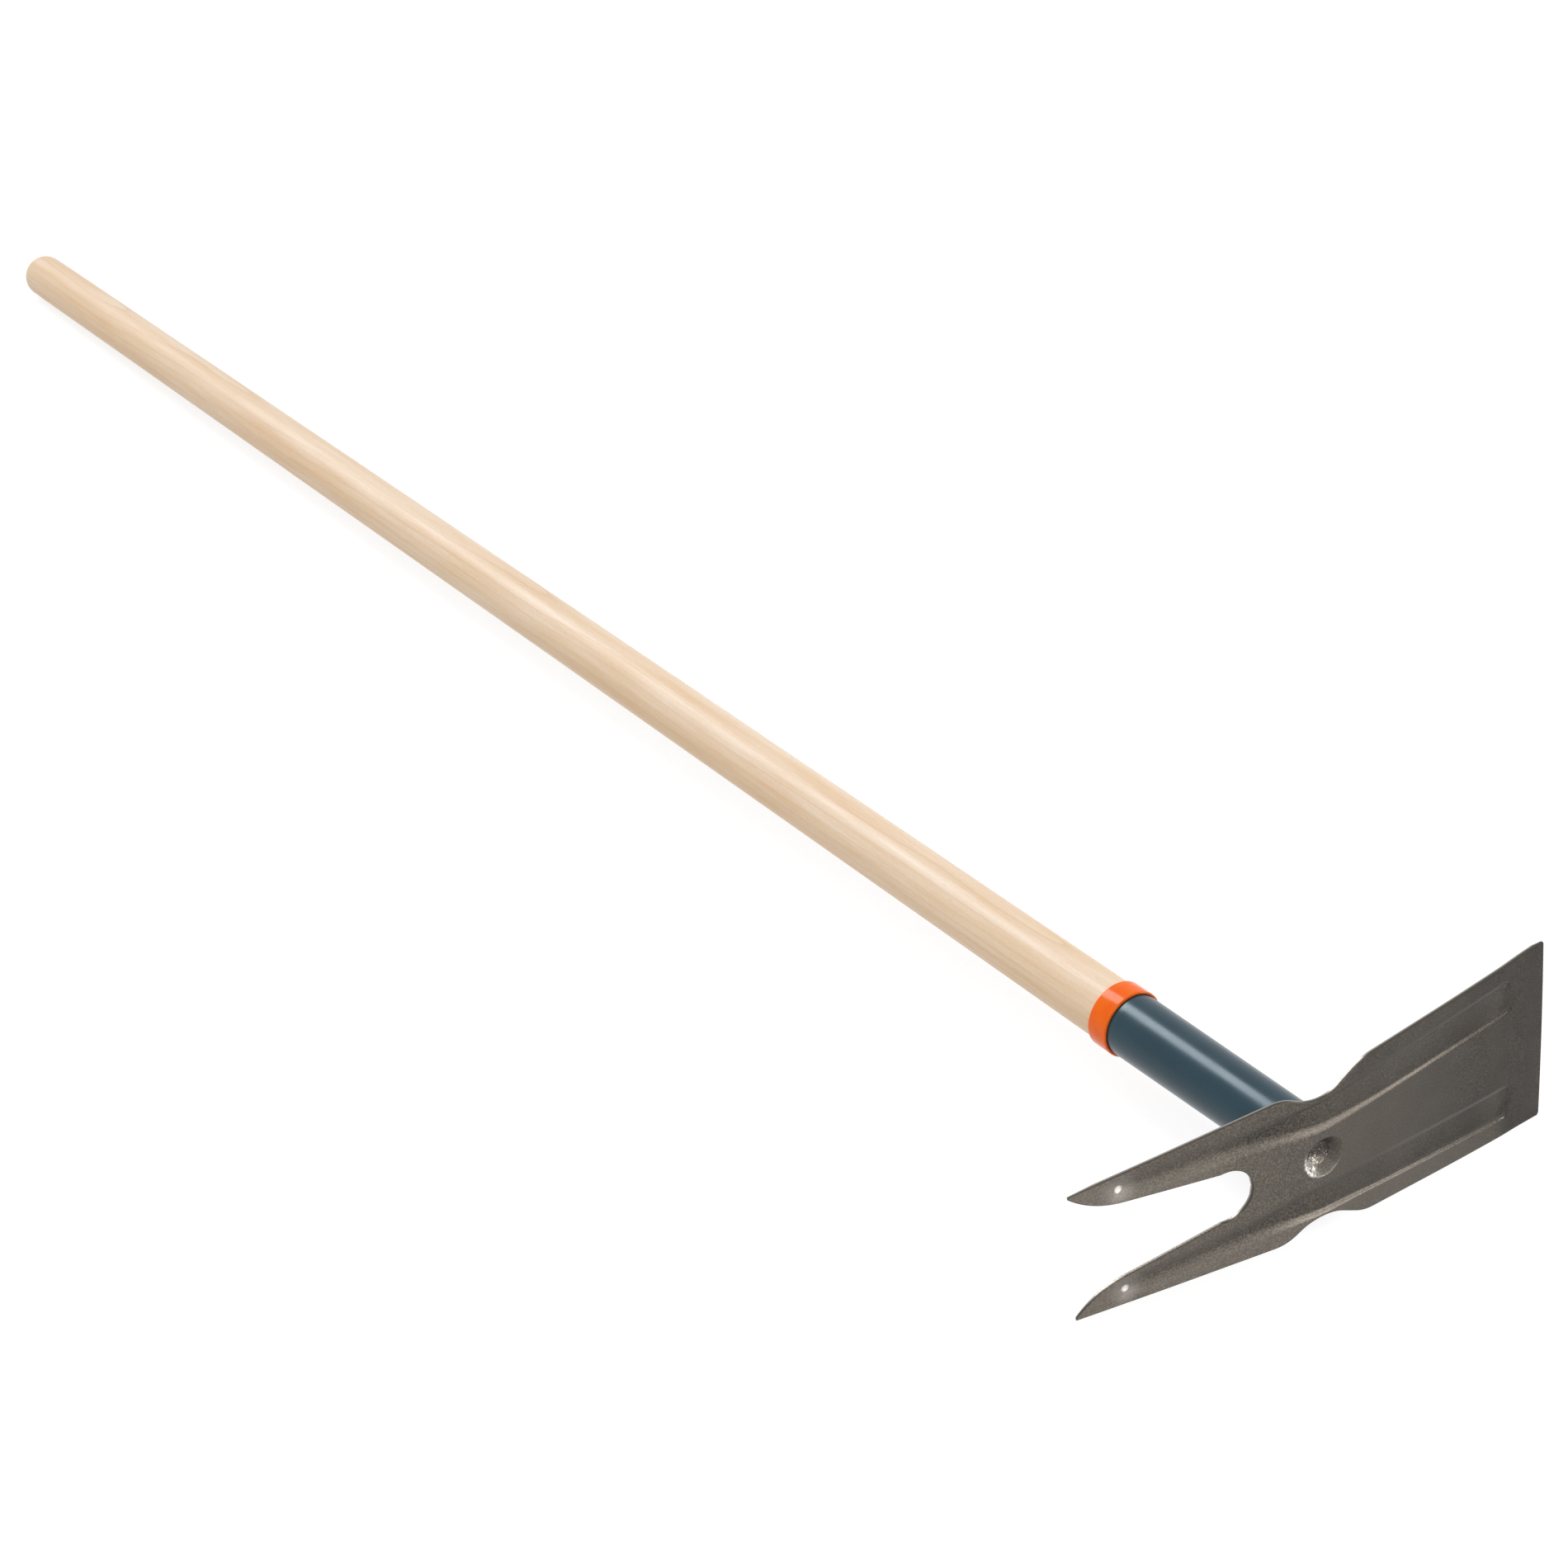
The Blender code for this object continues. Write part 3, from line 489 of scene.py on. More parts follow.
@dataclass(frozen=True)
class StovedEnamel:
    """Drawn steel tube with a stoved enamel.

    The enamel is a dark slate blue with a satin gloss and the faint orange peel of spraying.
    """

    name: str = "stoved_enamel"
    colour: str = "#0f2e3a"
    thin: str = "#133440"
    sheen: str = "#e4f5ff"
    roughness: float = 0.26
    ior: float = 1.5
    peel: float = 2.2                   # sizes of patterns in millimetres
    coat_patch: float = 18.0

    def material(self) -> bpy.types.Material:
        """Make the material.

        Returns:
            The new material.
        """
        material, shader = new_material(self.name, {
            "Roughness": self.roughness, "IOR": self.ior, "Specular IOR Level": 0.5,
            "Specular Tint": linear(self.sheen)})
        tree = material.node_tree
        place = own_place(tree)

        # Orange peel of about 2 mm, and patches of 18 mm where the coat is thinner.
        peel = add_node(tree, "ShaderNodeTexNoise", {
            "Vector": place, "Scale": pattern_scale(self.peel), "Detail": 1.0})
        cloud = add_node(tree, "ShaderNodeTexNoise", {
            "Vector": place, "Scale": pattern_scale(self.coat_patch), "Detail": 3.0})
        colour = set_ramp(add_node(tree, "ShaderNodeValToRGB", {"Fac": cloud.outputs["Fac"]}), [
            (0.35, self.colour), (0.70, self.thin)])
        tree.links.new(colour, shader.inputs["Base Color"])
        satin = add_node(tree, "ShaderNodeMapRange", {
            "Value": cloud.outputs["Fac"], "From Min": 0.3, "From Max": 0.7,
            "To Min": self.roughness - 0.02, "To Max": self.roughness + 0.03})
        tree.links.new(satin.outputs["Result"], shader.inputs["Roughness"])
        bump = add_node(tree, "ShaderNodeBump", {
            "Strength": 0.12, "Distance": 0.00008, "Height": peel.outputs["Fac"]})
        tree.links.new(bump.outputs["Normal"], shader.inputs["Normal"])
        return material


@dataclass(frozen=True)
class MouldedPolypropylene:
    """Injection-moulded polypropylene, pigmented orange right through.

    Polished tooling leaves it semi-gloss, with a very slight waviness where it shrank.
    """

    name: str = "moulded_polypropylene"
    colour: str = "#f46b00"
    shade: str = "#ee6000"
    roughness: float = 0.17
    ior: float = 1.49
    flow_mark: float = 9.0              # millimetres across

    def material(self) -> bpy.types.Material:
        """Make the material.

        Returns:
            The new material.
        """
        material, shader = new_material(self.name, {
            "Roughness": self.roughness, "IOR": self.ior, "Specular IOR Level": 0.2,
            "Subsurface Weight": 0.12, "Subsurface Radius": (0.0020, 0.0008, 0.0002)})
        tree = material.node_tree
        place = own_place(tree)

        # Where it shrank, the surface dips and the pigment looks a little deeper.
        flow = add_node(tree, "ShaderNodeTexNoise", {
            "Vector": place, "Scale": pattern_scale(self.flow_mark), "Detail": 2.0})
        colour = set_ramp(add_node(tree, "ShaderNodeValToRGB", {"Fac": flow.outputs["Fac"]}), [
            (0.30, self.shade), (0.60, self.colour)])
        tree.links.new(colour, shader.inputs["Base Color"])
        bump = add_node(tree, "ShaderNodeBump", {
            "Strength": 0.15, "Distance": 0.0001, "Height": flow.outputs["Fac"]})
        tree.links.new(bump.outputs["Normal"], shader.inputs["Normal"])
        return material


@dataclass(frozen=True)
class LacqueredBirch:
    """Turned birch under clear lacquer.

    Birch is pale and close-grained. Its yearly rings show as faint tan lines, straight where the
    handle's side cuts across them and in long drawn-out arches where it runs along them.
    """

    name: str = "lacquered_birch"
    pale: str = "#ecd7c0"
    tan: str = "#ddba90"
    ring_line: str = "#cda77f"
    pore: str = "#cba680"
    sheen: str = "#dceeff"
    roughness: float = 0.36
    ior: float = 1.46
    ring_width: float = 4.2             # millimetres
    ring_share: float = 0.42            # how strongly the rings show
    heart: tuple[float, float, float] = (0.012, 0.0, 0.046)     # metres from it to the handle
    askew: tuple[float, float] = (0.55, -0.5)                   # degrees about X and Z
    wave_rings: float = 2.6             # how many rings' width the lines wander
    wave: Grain = Grain((60.0, 260.0, 60.0), 2.0, 0.4)
    fibre: Grain = Grain((0.7, 45.0, 0.7), 3.0, 0.6)
    band: Grain = Grain((9.0, 150.0, 9.0), 4.0, 0.55)
    fleck: Grain = Grain((0.8, 3.0, 0.8), 2.0, 0.6)
    pores: Grain = Grain((0.5, 5.0, 0.5), 1.0)

    def material(self) -> bpy.types.Material:
        """Make the material.

        Returns:
            The new material.
        """
        material, shader = new_material(self.name, {
            "Roughness": self.roughness, "IOR": self.ior, "Specular IOR Level": 0.36,
            "Specular Tint": linear(self.sheen)})
        tree = material.node_tree
        place = own_place(tree)

        # The heart of the tree lay 46 mm below the handle and ran slightly askew to it.
        askew = add_node(tree, "ShaderNodeMapping", {
            "Vector": place, "Location": self.heart,
            "Rotation": (math.radians(self.askew[0]), 0.0, math.radians(self.askew[1]))})
        flat = add_node(tree, "ShaderNodeVectorMath", {
            0: askew.outputs["Vector"], 1: (1.0, 0.0, 1.0)}, operation="MULTIPLY")
        reach = add_node(tree, "ShaderNodeVectorMath", {0: flat.outputs["Vector"]}, operation="LENGTH")
        rings = add_node(tree, "ShaderNodeMath", {
            0: reach.outputs["Value"], 1: pattern_scale(self.ring_width)}, operation="MULTIPLY")
        waved = add_node(tree, "ShaderNodeMath", {
            0: self.wave.draw(tree, place), 1: self.wave_rings, 2: rings.outputs["Value"]},
            operation="MULTIPLY_ADD")

        # Each ring darkens slowly towards its late wood, where it stops short.
        ring = add_node(tree, "ShaderNodeMath", {0: waved.outputs["Value"]}, operation="FRACT")
        line = set_ramp(add_node(tree, "ShaderNodeValToRGB", {"Fac": ring.outputs["Value"]}), [
            (0.0, "#5a5a5a"), (0.10, "#000000"), (0.62, "#141414"), (0.90, "#8c8c8c"), (1.0, "#ffffff")])

        # The wood is warmer towards the butt, and its lower side, towards the heart, is painted warmer and
        # darker as painted shade.
        along = add_node(tree, "ShaderNodeSeparateXYZ", {0: place})
        butt = add_node(tree, "ShaderNodeMapRange", {
            "Value": along.outputs["Y"], "From Min": 0.4, "From Max": 1.38,
            "To Min": 0.0, "To Max": 0.06})
        painted_shade_below = add_node(tree, "ShaderNodeMapRange", {
            "Value": along.outputs["Z"], "From Min": 0.011, "From Max": -0.011,
            "To Min": 0.0, "To Max": 0.26})
        warmth = add_node(tree, "ShaderNodeMath", {
            0: butt.outputs["Result"], 1: painted_shade_below.outputs["Result"]}, operation="ADD").outputs["Value"]

        # Broad bands of warmer wood, bundles of fibre 0.7 mm wide and some 45 mm long, and flecks
        # of 0.4 by 3 mm, which are drawn 0.8 mm wide so that they show.
        fibre = self.fibre.draw(tree, place)
        for grain, share in ((self.band.draw(tree, place), 0.8), (fibre, 0.35),
                             (self.fleck.draw(tree, place), 0.24)):
            warmth = add_node(tree, "ShaderNodeMath", {0: grain, 1: share, 2: warmth},
                              operation="MULTIPLY_ADD").outputs["Value"]
        wood = set_ramp(add_node(tree, "ShaderNodeValToRGB", {"Fac": warmth}), [
            (0.55, self.pale), (0.98, self.tan)])
        faint = add_node(tree, "ShaderNodeMath", {0: line, 1: self.ring_share}, operation="MULTIPLY")
        ringed = add_node(tree, "ShaderNodeMix", {
            "Factor": faint.outputs["Value"], "A": wood, "B": linear(self.ring_line)}, data_type="RGBA")

        # Pores are dashes 0.1 mm wide and some 5 mm long, drawn 0.5 mm wide so that they show.
        pored = add_node(tree, "ShaderNodeMapRange", {
            "Value": self.pores.draw(tree, place), "From Min": 0.66, "From Max": 0.78,
            "To Min": 0.0, "To Max": 0.30})
        colour = add_node(tree, "ShaderNodeMix", {
            "Factor": pored.outputs["Result"], "A": ringed.outputs["Result"], "B": linear(self.pore)},
            data_type="RGBA")
        tree.links.new(colour.outputs["Result"], shader.inputs["Base Color"])

        # The lacquer is a little duller over the darker fibre, and follows it in a faint relief.
        sheen = add_node(tree, "ShaderNodeMapRange", {
            "Value": fibre, "From Min": 0.3, "From Max": 0.7,
            "To Min": self.roughness - 0.04, "To Max": self.roughness + 0.05})
        tree.links.new(sheen.outputs["Result"], shader.inputs["Roughness"])
        bump = add_node(tree, "ShaderNodeBump", {
            "Strength": 0.10, "Distance": 0.0001, "Height": fibre})
        tree.links.new(bump.outputs["Normal"], shader.inputs["Normal"])
        return material


# Making pieces


def place_piece(name: str, shape: bmesh.types.BMesh, sharp_angle: float = 32.0) -> bpy.types.Object:
    """Turn a bmesh in millimetres into a smooth-shaded object on the floor.

    Args:
        name: Name of the object.
        shape: Mesh in the hoe's own frame. It is freed.
        sharp_angle: Degrees from which an edge is shaded sharp.

    Returns:
        The new object.
    """
    bmesh.ops.transform(shape, matrix=LAYING.matrix() @ Matrix.Scale(METRES, 4), verts=shape.verts)
    bmesh.ops.recalc_face_normals(shape, faces=shape.faces)
    mesh = bpy.data.meshes.new(name)
    shape.to_mesh(mesh)
    shape.free()
    mesh.shade_smooth()
    mesh.set_sharp_from_angle(angle=math.radians(sharp_angle))
    piece = bpy.data.objects.new(name, mesh)
    bpy.context.scene.collection.objects.link(piece)
    return piece


def turned_shape(profile: Sequence[tuple[float, float] | Vector], closed: bool,
                 steps: int) -> bmesh.types.BMesh:
    """Turn a profile about the handle's axis.

    Args:
        profile: Radius and place along the axis of each point.
        closed: Whether the profile closes into a ring. An open one starts and ends on the axis.
        steps: Number of faces round the axis.

    Returns:
        The turned mesh.
    """
    shape = bmesh.new()
    rings = []
    for radius, y in profile:
        if radius < 1e-6:
            rings.append([shape.verts.new((0.0, y, 0.0))])
            continue
        angles = [math.tau * step / steps for step in range(steps)]
        rings.append([shape.verts.new((radius * math.cos(angle), y, radius * math.sin(angle)))
                      for angle in angles])
    pairs = list(zip(rings, rings[1:]))
    if closed:
        pairs.append((rings[-1], rings[0]))
    for first, second in pairs:
        for step in range(steps):
            after = (step + 1) % steps
            corners = [first[step % len(first)], first[after % len(first)],
                       second[after % len(second)], second[step % len(second)]]
            shape.faces.new(dict.fromkeys(corners))
    return shape


def dress(piece: bpy.types.Object, material: bpy.types.Material, node: str) -> None:
    """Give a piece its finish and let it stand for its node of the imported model.

    Args:
        piece: The detailed piece.
        material: Its finish.
        node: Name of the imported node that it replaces.
    """
    piece.data.materials.clear()
    piece.data.materials.append(material)
    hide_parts(node)
    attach(piece, "root")
    log.info("%s: %d faces, stands for %s", piece.name, len(piece.data.polygons), node)


@dataclass
class HeadPlate:
    """Stamped steel head: hoe blade, fork, two stiffening grooves and the dish.

    Sizes are in millimetres and angles in degrees. Blank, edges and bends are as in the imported
    model, and the grooves and the dish are drawn nearer to the photograph than its plainer ones.
    """

    # Blank
    thickness: float = 1.9
    blade_width: float = 96.4
    blade_reach: float = 130.2          # handle's axis to the cutting edge
    tine_reach: float = 121.2           # handle's axis to the points
    side_taper: float = 3.4
    waist_shift: float = 1.2
    waist_flange: float = 1.1
    flank_angle: float = 29.0
    waist_radius: float = 22.0
    blade_shoulder_radius: float = 23.0
    tine_shoulder_radius: float = 20.0
    blade_corner_radius: float = 1.4
    edge_crown: float = 0.5             # how far the cutting edge bulges in its middle
    fork_bottom: float = 35.2
    fork_radius: float = 13.35
    fork_half_angle: float = 8.2
    claw_radius: float = 44.0
    point_width: float = 1.3

    # Edges
    rim_radius: float = 0.35
    rim_share: float = 0.2              # largest share of the thickness that is rounded off
    cutting_edge: float = 0.6
    cutting_bevel: float = 6.0
    point_thickness: float = 1.1
    point_bevel: float = 12.0

    # Bends
    bend_angle: float = 9.2
    bend_length: float = 14.0
    tine_sweep_start: float = 60.0
    tine_sweep_radius: float = 2700.0
    blade_sweep_start: float = 57.0
    blade_sweep_radius: float = 1960.0

    # Grooves, and the flanges outside them
    groove_depth: float = 1.5
    groove_widths: tuple[float, float, float] = (17.2, 16.0, 14.4)     # at the blade, neck and tine
    groove_wall: float = 3.4
    inner_wall: float = 5.0             # of the wall towards the head's middle
    inner_reach: float = 1.8            # how far that wall spreads past the lip
    inner_blend: float = 4.0            # over which one wall turns into the other
    groove_fade: float = 11.0           # length of the slope at the groove's end on the blade
    fade_start: float = 4.0             # how far before the middle line's end it begins
    fade_length: float = 10.0
    corner_share: float = 0.45          # of the half width, from which the end's corners are steep
    corner_blend: float = 0.40
    groove_shallow: float = 0.40        # share of the depth that is lost from the neck on
    groove_runout: float = 0.25         # share lost besides where it runs out on the blade
    runout_start: float = 22.0          # how far before the middle line's end that begins
    runout_length: float = 26.0
    gutter_start: float = 42.0          # from here on the tines the walls meet in the middle
    groove_spacing: float = 59.0
    groove_neck: float = 23.0
    groove_edge_gap: float = 18.4
    groove_point_gap: float = 17.0
    groove_turn: float = 40.0
    flange_lean: float = 2.5
    flange_fade: float = 15.0

    # Dish
    dish_radius: float = 10.1           # at the lip, 0.7 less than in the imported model
    dish_floor_radius: float = 7.6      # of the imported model's floor, which the back follows
    bowl_radius: float = 5.0            # of the floor that shows, inside the sloping wall
    dish_depth: float = 4.0
    dish_wall: float = 1.6
    dish_lip: float = 0.9
    dish_fillet: float = 1.2
    shank_hole: float = 4.3             # radius
    punch_span: tuple[float, float] = (1.0, 9.0)        # along the handle, through the plate

    # Marks of use and of the die, and painted light and shade
    upper_shade: float = 0.15           # how dark the painted shade in a groove starts below its upper lip
    # dish_shade is the strength of the painted shade in the dish
    dish_shade: float = 0.8
    scuff: tuple[float, float, float, float] = (-92.5, -33.4, 5.0, 1.6)    # place, length and width
    # Places of the dimples on the tines, which carry painted highlights with a painted halo.
    spots: tuple[tuple[float, float], ...] = ((-98.0, 27.0), (-97.5, -27.0))
    spot_radius: float = 2.3
    spot_height: float = 0.30
    halo_radius: float = 11.0
    struck_angle: float = -160.0        # side of the dish's wall that the hammer struck
    struck_spread: float = 68.0
    facet_size: float = 1.7
    facet_tilt: float = 1.3
    fold_height: float = 0.26
    fold_width: float = 0.18            # as a share of a facet's size
    mound_height: float = 0.8           # of the metal that the blows pushed up on the wall
    mound_from: float = 5.6
    halo_shine: float = 0.16

    # Fineness
    column_counts: tuple[int, int, int] = (34, 44, 6)   # inside the groove, across it and outside
    least_column: float = 0.1
    lip_margin: float = 0.6
    end_margin: float = 0.4
    least_station: float = 0.22
    arc_step: float = 3.0
    hole_steps: int = 48
    weld: float = 0.0005                # points closer than this are one

    # Worked out from the rest
    outer: np.ndarray = field(init=False)
    inner: np.ndarray = field(init=False)
    blade_end: float = field(init=False)
    tine_end: float = field(init=False)
    blade_slope: float = field(init=False)
    tine_slope: float = field(init=False)

    def __post_init__(self) -> None:
        """Draw the outline, from which the groove on the tine takes its line."""
        self.outer = self.outer_outline()
        self.inner = self.inner_outline()
        self.blade_end = self.blade_reach - self.groove_edge_gap - self.groove_widths[0] / 2.0
        self.tine_end = -(self.tine_reach - self.groove_point_gap - self.groove_widths[2] / 2.0)
        middle = (height_at(self.outer, self.tine_end) + height_at(self.inner, self.tine_end)) / 2.0
        self.blade_slope = (self.groove_spacing / 2.0 - self.groove_neck) / self.blade_end
        self.tine_slope = (middle - self.groove_neck) / -self.tine_end

    def side_line(self, x: float) -> float:
        """Half width of the tapered blank."""
        return self.blade_width / 2.0 - tan_deg(self.side_taper) * (self.blade_reach - x)

    def outer_outline(self) -> np.ndarray:
        """Draw the upper edge of the blank.

        Returns:
            Points from a tine's point to the cutting edge, in order of rising X.
        """
        waist_half = self.groove_neck + self.groove_widths[1] / 2.0 + self.waist_flange
        rise = self.waist_radius * (1.0 / math.cos(math.radians(self.flank_angle)) - 1.0)
        waist = (-self.waist_shift, waist_half - rise)
        fall = self.side_line(-self.waist_shift) - waist[1]
        tine_shoulder = -self.waist_shift - fall / (tan_deg(self.flank_angle) + tan_deg(self.side_taper))
        blade_shoulder = -self.waist_shift + fall / (tan_deg(self.flank_angle) - tan_deg(self.side_taper))
        corners = [
            (-self.tine_reach, self.side_line(-self.tine_reach)),
            (tine_shoulder, self.side_line(tine_shoulder)),
            waist,
            (blade_shoulder, self.side_line(blade_shoulder)),
            (self.blade_reach, self.blade_width / 2.0),
            (self.blade_reach, 0.0),
        ]
        radii = [self.tine_shoulder_radius, self.waist_radius, self.blade_shoulder_radius,
                 self.blade_corner_radius]
        path = rounded_path(corners, radii, self.arc_step)
        return np.array([tuple(point) for point in path[:-1]])

    def inner_outline(self) -> np.ndarray:
        """Draw the inner edge of the upper tine.

        Returns:
            Points from the tine's point to the bottom of the fork, in order of rising X.
        """
        half_angle = math.radians(self.fork_half_angle)
        along = Vector((-math.cos(half_angle), math.sin(half_angle)))
        across = Vector((math.sin(half_angle), math.cos(half_angle)))
        centre = Vector((-self.fork_bottom - self.fork_radius, 0.0))
        turn = 90.0 + self.fork_half_angle
        steps = math.ceil(turn / self.arc_step)
        path = []
        for step in range(steps + 1):
            angle = math.radians(turn) * step / steps
            path.append(centre + self.fork_radius * Vector((math.cos(angle), math.sin(angle))))
        point = Vector((-self.tine_reach, self.side_line(-self.tine_reach) - self.point_width))
        reach = (point - path[-1]).dot(along)
        offset = (point - path[-1]).dot(across)
        claw_turn = math.acos(1.0 - offset / self.claw_radius)
        claw_start = path[-1] + along * (reach - self.claw_radius * math.sin(claw_turn))
        steps = math.ceil(math.degrees(claw_turn) / self.arc_step) + 1
        for step in range(steps + 1):
            angle = claw_turn * step / steps
            path.append(claw_start + along * (self.claw_radius * math.sin(angle))
                        + across * (self.claw_radius * (1.0 - math.cos(angle))))
        return np.array([tuple(place) for place in reversed(path)])

    def sweep(self, x: np.ndarray) -> np.ndarray:
        """Bend the plate.

        Args:
            x: Places along the head.

        Returns:
            How far the front face lies behind the origin's plane there.
        """
        tines = ramp(-x, self.bend_length / 2.0)
        tine_curl = np.maximum(-x - self.tine_sweep_start, 0.0) ** 2 / (2.0 * self.tine_sweep_radius)
        blade_curl = np.maximum(x - self.blade_sweep_start, 0.0) ** 2 / (2.0 * self.blade_sweep_radius)
        return tan_deg(self.bend_angle) * tines + tine_curl + blade_curl

    def thickness_at(self, x: np.ndarray) -> np.ndarray:
        """Grind the plate down towards the cutting edge and the points.

        Args:
            x: Places along the head.

        Returns:
            Thickness there.
        """
        edge = np.clip((self.blade_reach - x) / self.cutting_bevel, 0.0, 1.0)
        point = np.clip((x + self.tine_reach) / self.point_bevel, 0.0, 1.0)
        at_edge = self.cutting_edge + (self.thickness - self.cutting_edge) * edge
        at_point = self.point_thickness + (self.thickness - self.point_thickness) * point
        return np.minimum(at_edge, at_point)

    def rim_width(self, x: float) -> float:
        """Width of the rounding along the plate's sheared edge."""
        return min(self.rim_radius, self.rim_share * float(self.thickness_at(np.float64(x))),
                   self.rim_share * self.point_width)

    def groove_centre(self, x: np.ndarray) -> np.ndarray:
        """Distance of a groove's middle line from the head's middle plane."""
        blade, tine = (ramp(way, self.groove_turn / 2.0) for way in (x, -x))
        return self.groove_neck + self.blade_slope * blade + self.tine_slope * tine

    def groove_half_width(self, x: np.ndarray) -> np.ndarray:
        """Widen the groove from the neck to the blade.

        Args:
            x: Places along the head.

        Returns:
            Half the groove's width there, lip to lip.
        """
        blade, neck, tine = self.groove_widths
        to_blade = np.clip(x / self.blade_end, 0.0, 1.0)
        to_tine = np.clip(x / self.tine_end, 0.0, 1.0)
        return (neck + (blade - neck) * to_blade + (tine - neck) * to_tine) / 2.0

    def past_groove(self, x: np.ndarray) -> np.ndarray:
        """How far a place lies beyond either end of the groove's middle line."""
        return np.maximum(np.maximum(x - self.blade_end, self.tine_end - x), 0.0)

    def pressed(self, x: np.ndarray, z: np.ndarray) -> np.ndarray:
        """Press the groove into the plate.

        The walls are narrow along the blade and meet in the middle of a tine. The round end on
        the blade slopes up slowly in its middle and steeply at its corners.

        Args:
            x: Places along the head.
            z: Places across it, without their sign.

        Returns:
            Depth there as a share of the groove's full depth.
        """
        aside = np.abs(z - self.groove_centre(x))
        gutter = smoothstep(-x / self.gutter_start)
        inner = (1.0 - gutter) * smoothstep((self.groove_centre(x) - z) / self.inner_blend + 0.5)
        half = self.groove_half_width(x) + self.inner_reach * inner
        reach = (aside ** 3 + self.past_groove(x) ** 3) ** (1.0 / 3.0)
        corner = smoothstep((aside / half - self.corner_share) / self.corner_blend)
        end = smoothstep((x - self.blade_end + self.fade_start) / self.fade_length)
        fading = end * (1.0 - corner)
        lip = mix(self.groove_wall, self.inner_wall, inner) * self.shallowing(x)
        wall = mix(mix(lip, half, gutter), self.groove_fade, fading)
        return smoothstep((half - reach) / wall)

    def painted_groove_shade(self, x: np.ndarray, z: np.ndarray) -> np.ndarray:
        """Paint shade into the grooves, on the blade more towards the lower lip.

        Args:
            x: Places along the head.
            z: Places across it.

        Returns:
            How dark the painted shade is there, from 0 to 1.
        """
        below = (np.sign(z) * self.groove_centre(x) - z) / self.groove_half_width(x)
        lower = self.upper_shade + (1.0 - self.upper_shade) * smoothstep(0.5 + 0.5 * below)
        # The painted shade at the two lips grows different from 10 to 50 mm out on the blade.
        return self.pressed(x, np.abs(z)) * mix(1.0, lower, smoothstep((x - 10.0) / 40.0))

    def shallowing(self, x: np.ndarray) -> np.ndarray:
        """Let the groove lose depth along the blade and once more where it runs out.

        Args:
            x: Places along the head.

        Returns:
            Share of the depth that is left there.
        """
        # The first loss comes in from 10 mm short of the neck to 40 mm past it.
        along = 1.0 - self.groove_shallow * smoothstep((x + 10.0) / 50.0)
        runout = smoothstep((x - self.blade_end + self.runout_start) / self.runout_length)
        return along * (1.0 - self.groove_runout * runout)

    def lean(self, x: np.ndarray, z: np.ndarray) -> np.ndarray:
        """Lean the flange outside the groove forward.

        Args:
            x: Places along the head.
            z: Places across it, without their sign.

        Returns:
            How far the flange comes forward there.
        """
        outside = tan_deg(self.flange_lean) * np.maximum(
            z - self.groove_centre(x) - self.groove_half_width(x), 0.0)
        return outside * (1.0 - smoothstep(self.past_groove(x) / self.flange_fade))

    def dish_front(self, r: np.ndarray) -> np.ndarray:
        """Press the inside of the dish.

        Args:
            r: Distances from its middle.

        Returns:
            Depth there.
        """
        profile = [(0.0, self.dish_depth), (self.bowl_radius, self.dish_depth),
                   (self.dish_radius, 0.0), (self.dish_radius + 6.0, 0.0)]
        line = rounded_path(profile, [self.dish_fillet * 2.0, self.dish_lip], 4.0)
        return np.interp(r, [point.x for point in line], [point.y for point in line])

    def dish_back(self, r: np.ndarray) -> np.ndarray:
        """Raise the outside of the dish.

        Args:
            r: Distances from its middle.

        Returns:
            Height above the plate's back there.
        """
        floor = self.dish_floor_radius + self.dish_wall
        profile = [(0.0, self.dish_depth), (floor, self.dish_depth), (floor + 2.0, 0.0), (floor + 8.0, 0.0)]
        line = rounded_path(profile, [self.dish_wall * 0.8, 0.4], 8.0)
        return np.interp(r, [point.x for point in line], [point.y for point in line])

    def hammered(self, x: np.ndarray, z: np.ndarray) -> np.ndarray:
        """Find where the peening hammer struck the dish's wall: low, on the fork's side.

        Args:
            x: Places along the head.
            z: Places across it.

        Returns:
            How hard it was struck there, from 0 to 1.
        """
        r = np.hypot(x, z)
        angle = np.degrees(np.arctan2(z, x))
        turn = np.abs(np.mod(angle - self.struck_angle + 180.0, 360.0) - 180.0)
        # The marks lie on the wall, from 4 mm from the middle to just past the lip.
        ring = smoothstep((r - 4.0) / 2.0) * smoothstep((self.dish_radius + 0.8 - r) / 1.6)
        return smoothstep(1.0 - turn / self.struck_spread) * ring

    def front(self, x: np.ndarray, z: np.ndarray) -> np.ndarray:
        """Shape the front face.

        Args:
            x: Places along the head.
            z: Places across it.

        Returns:
            How far the face lies behind the origin's plane there.
        """
        across = np.abs(z)
        width = self.groove_half_width(x) / (self.groove_widths[0] / 2.0)
        groove = self.groove_depth * width * self.shallowing(x) * self.pressed(x, across)
        return self.sweep(x) + groove - self.lean(x, across) + self.dish_front(np.hypot(x, z))

    def stations(self) -> list[float]:
        """Choose where the cross-section is drawn, close together where it changes fast.

        Returns:
            Places along the head, from the points to the cutting edge.
        """
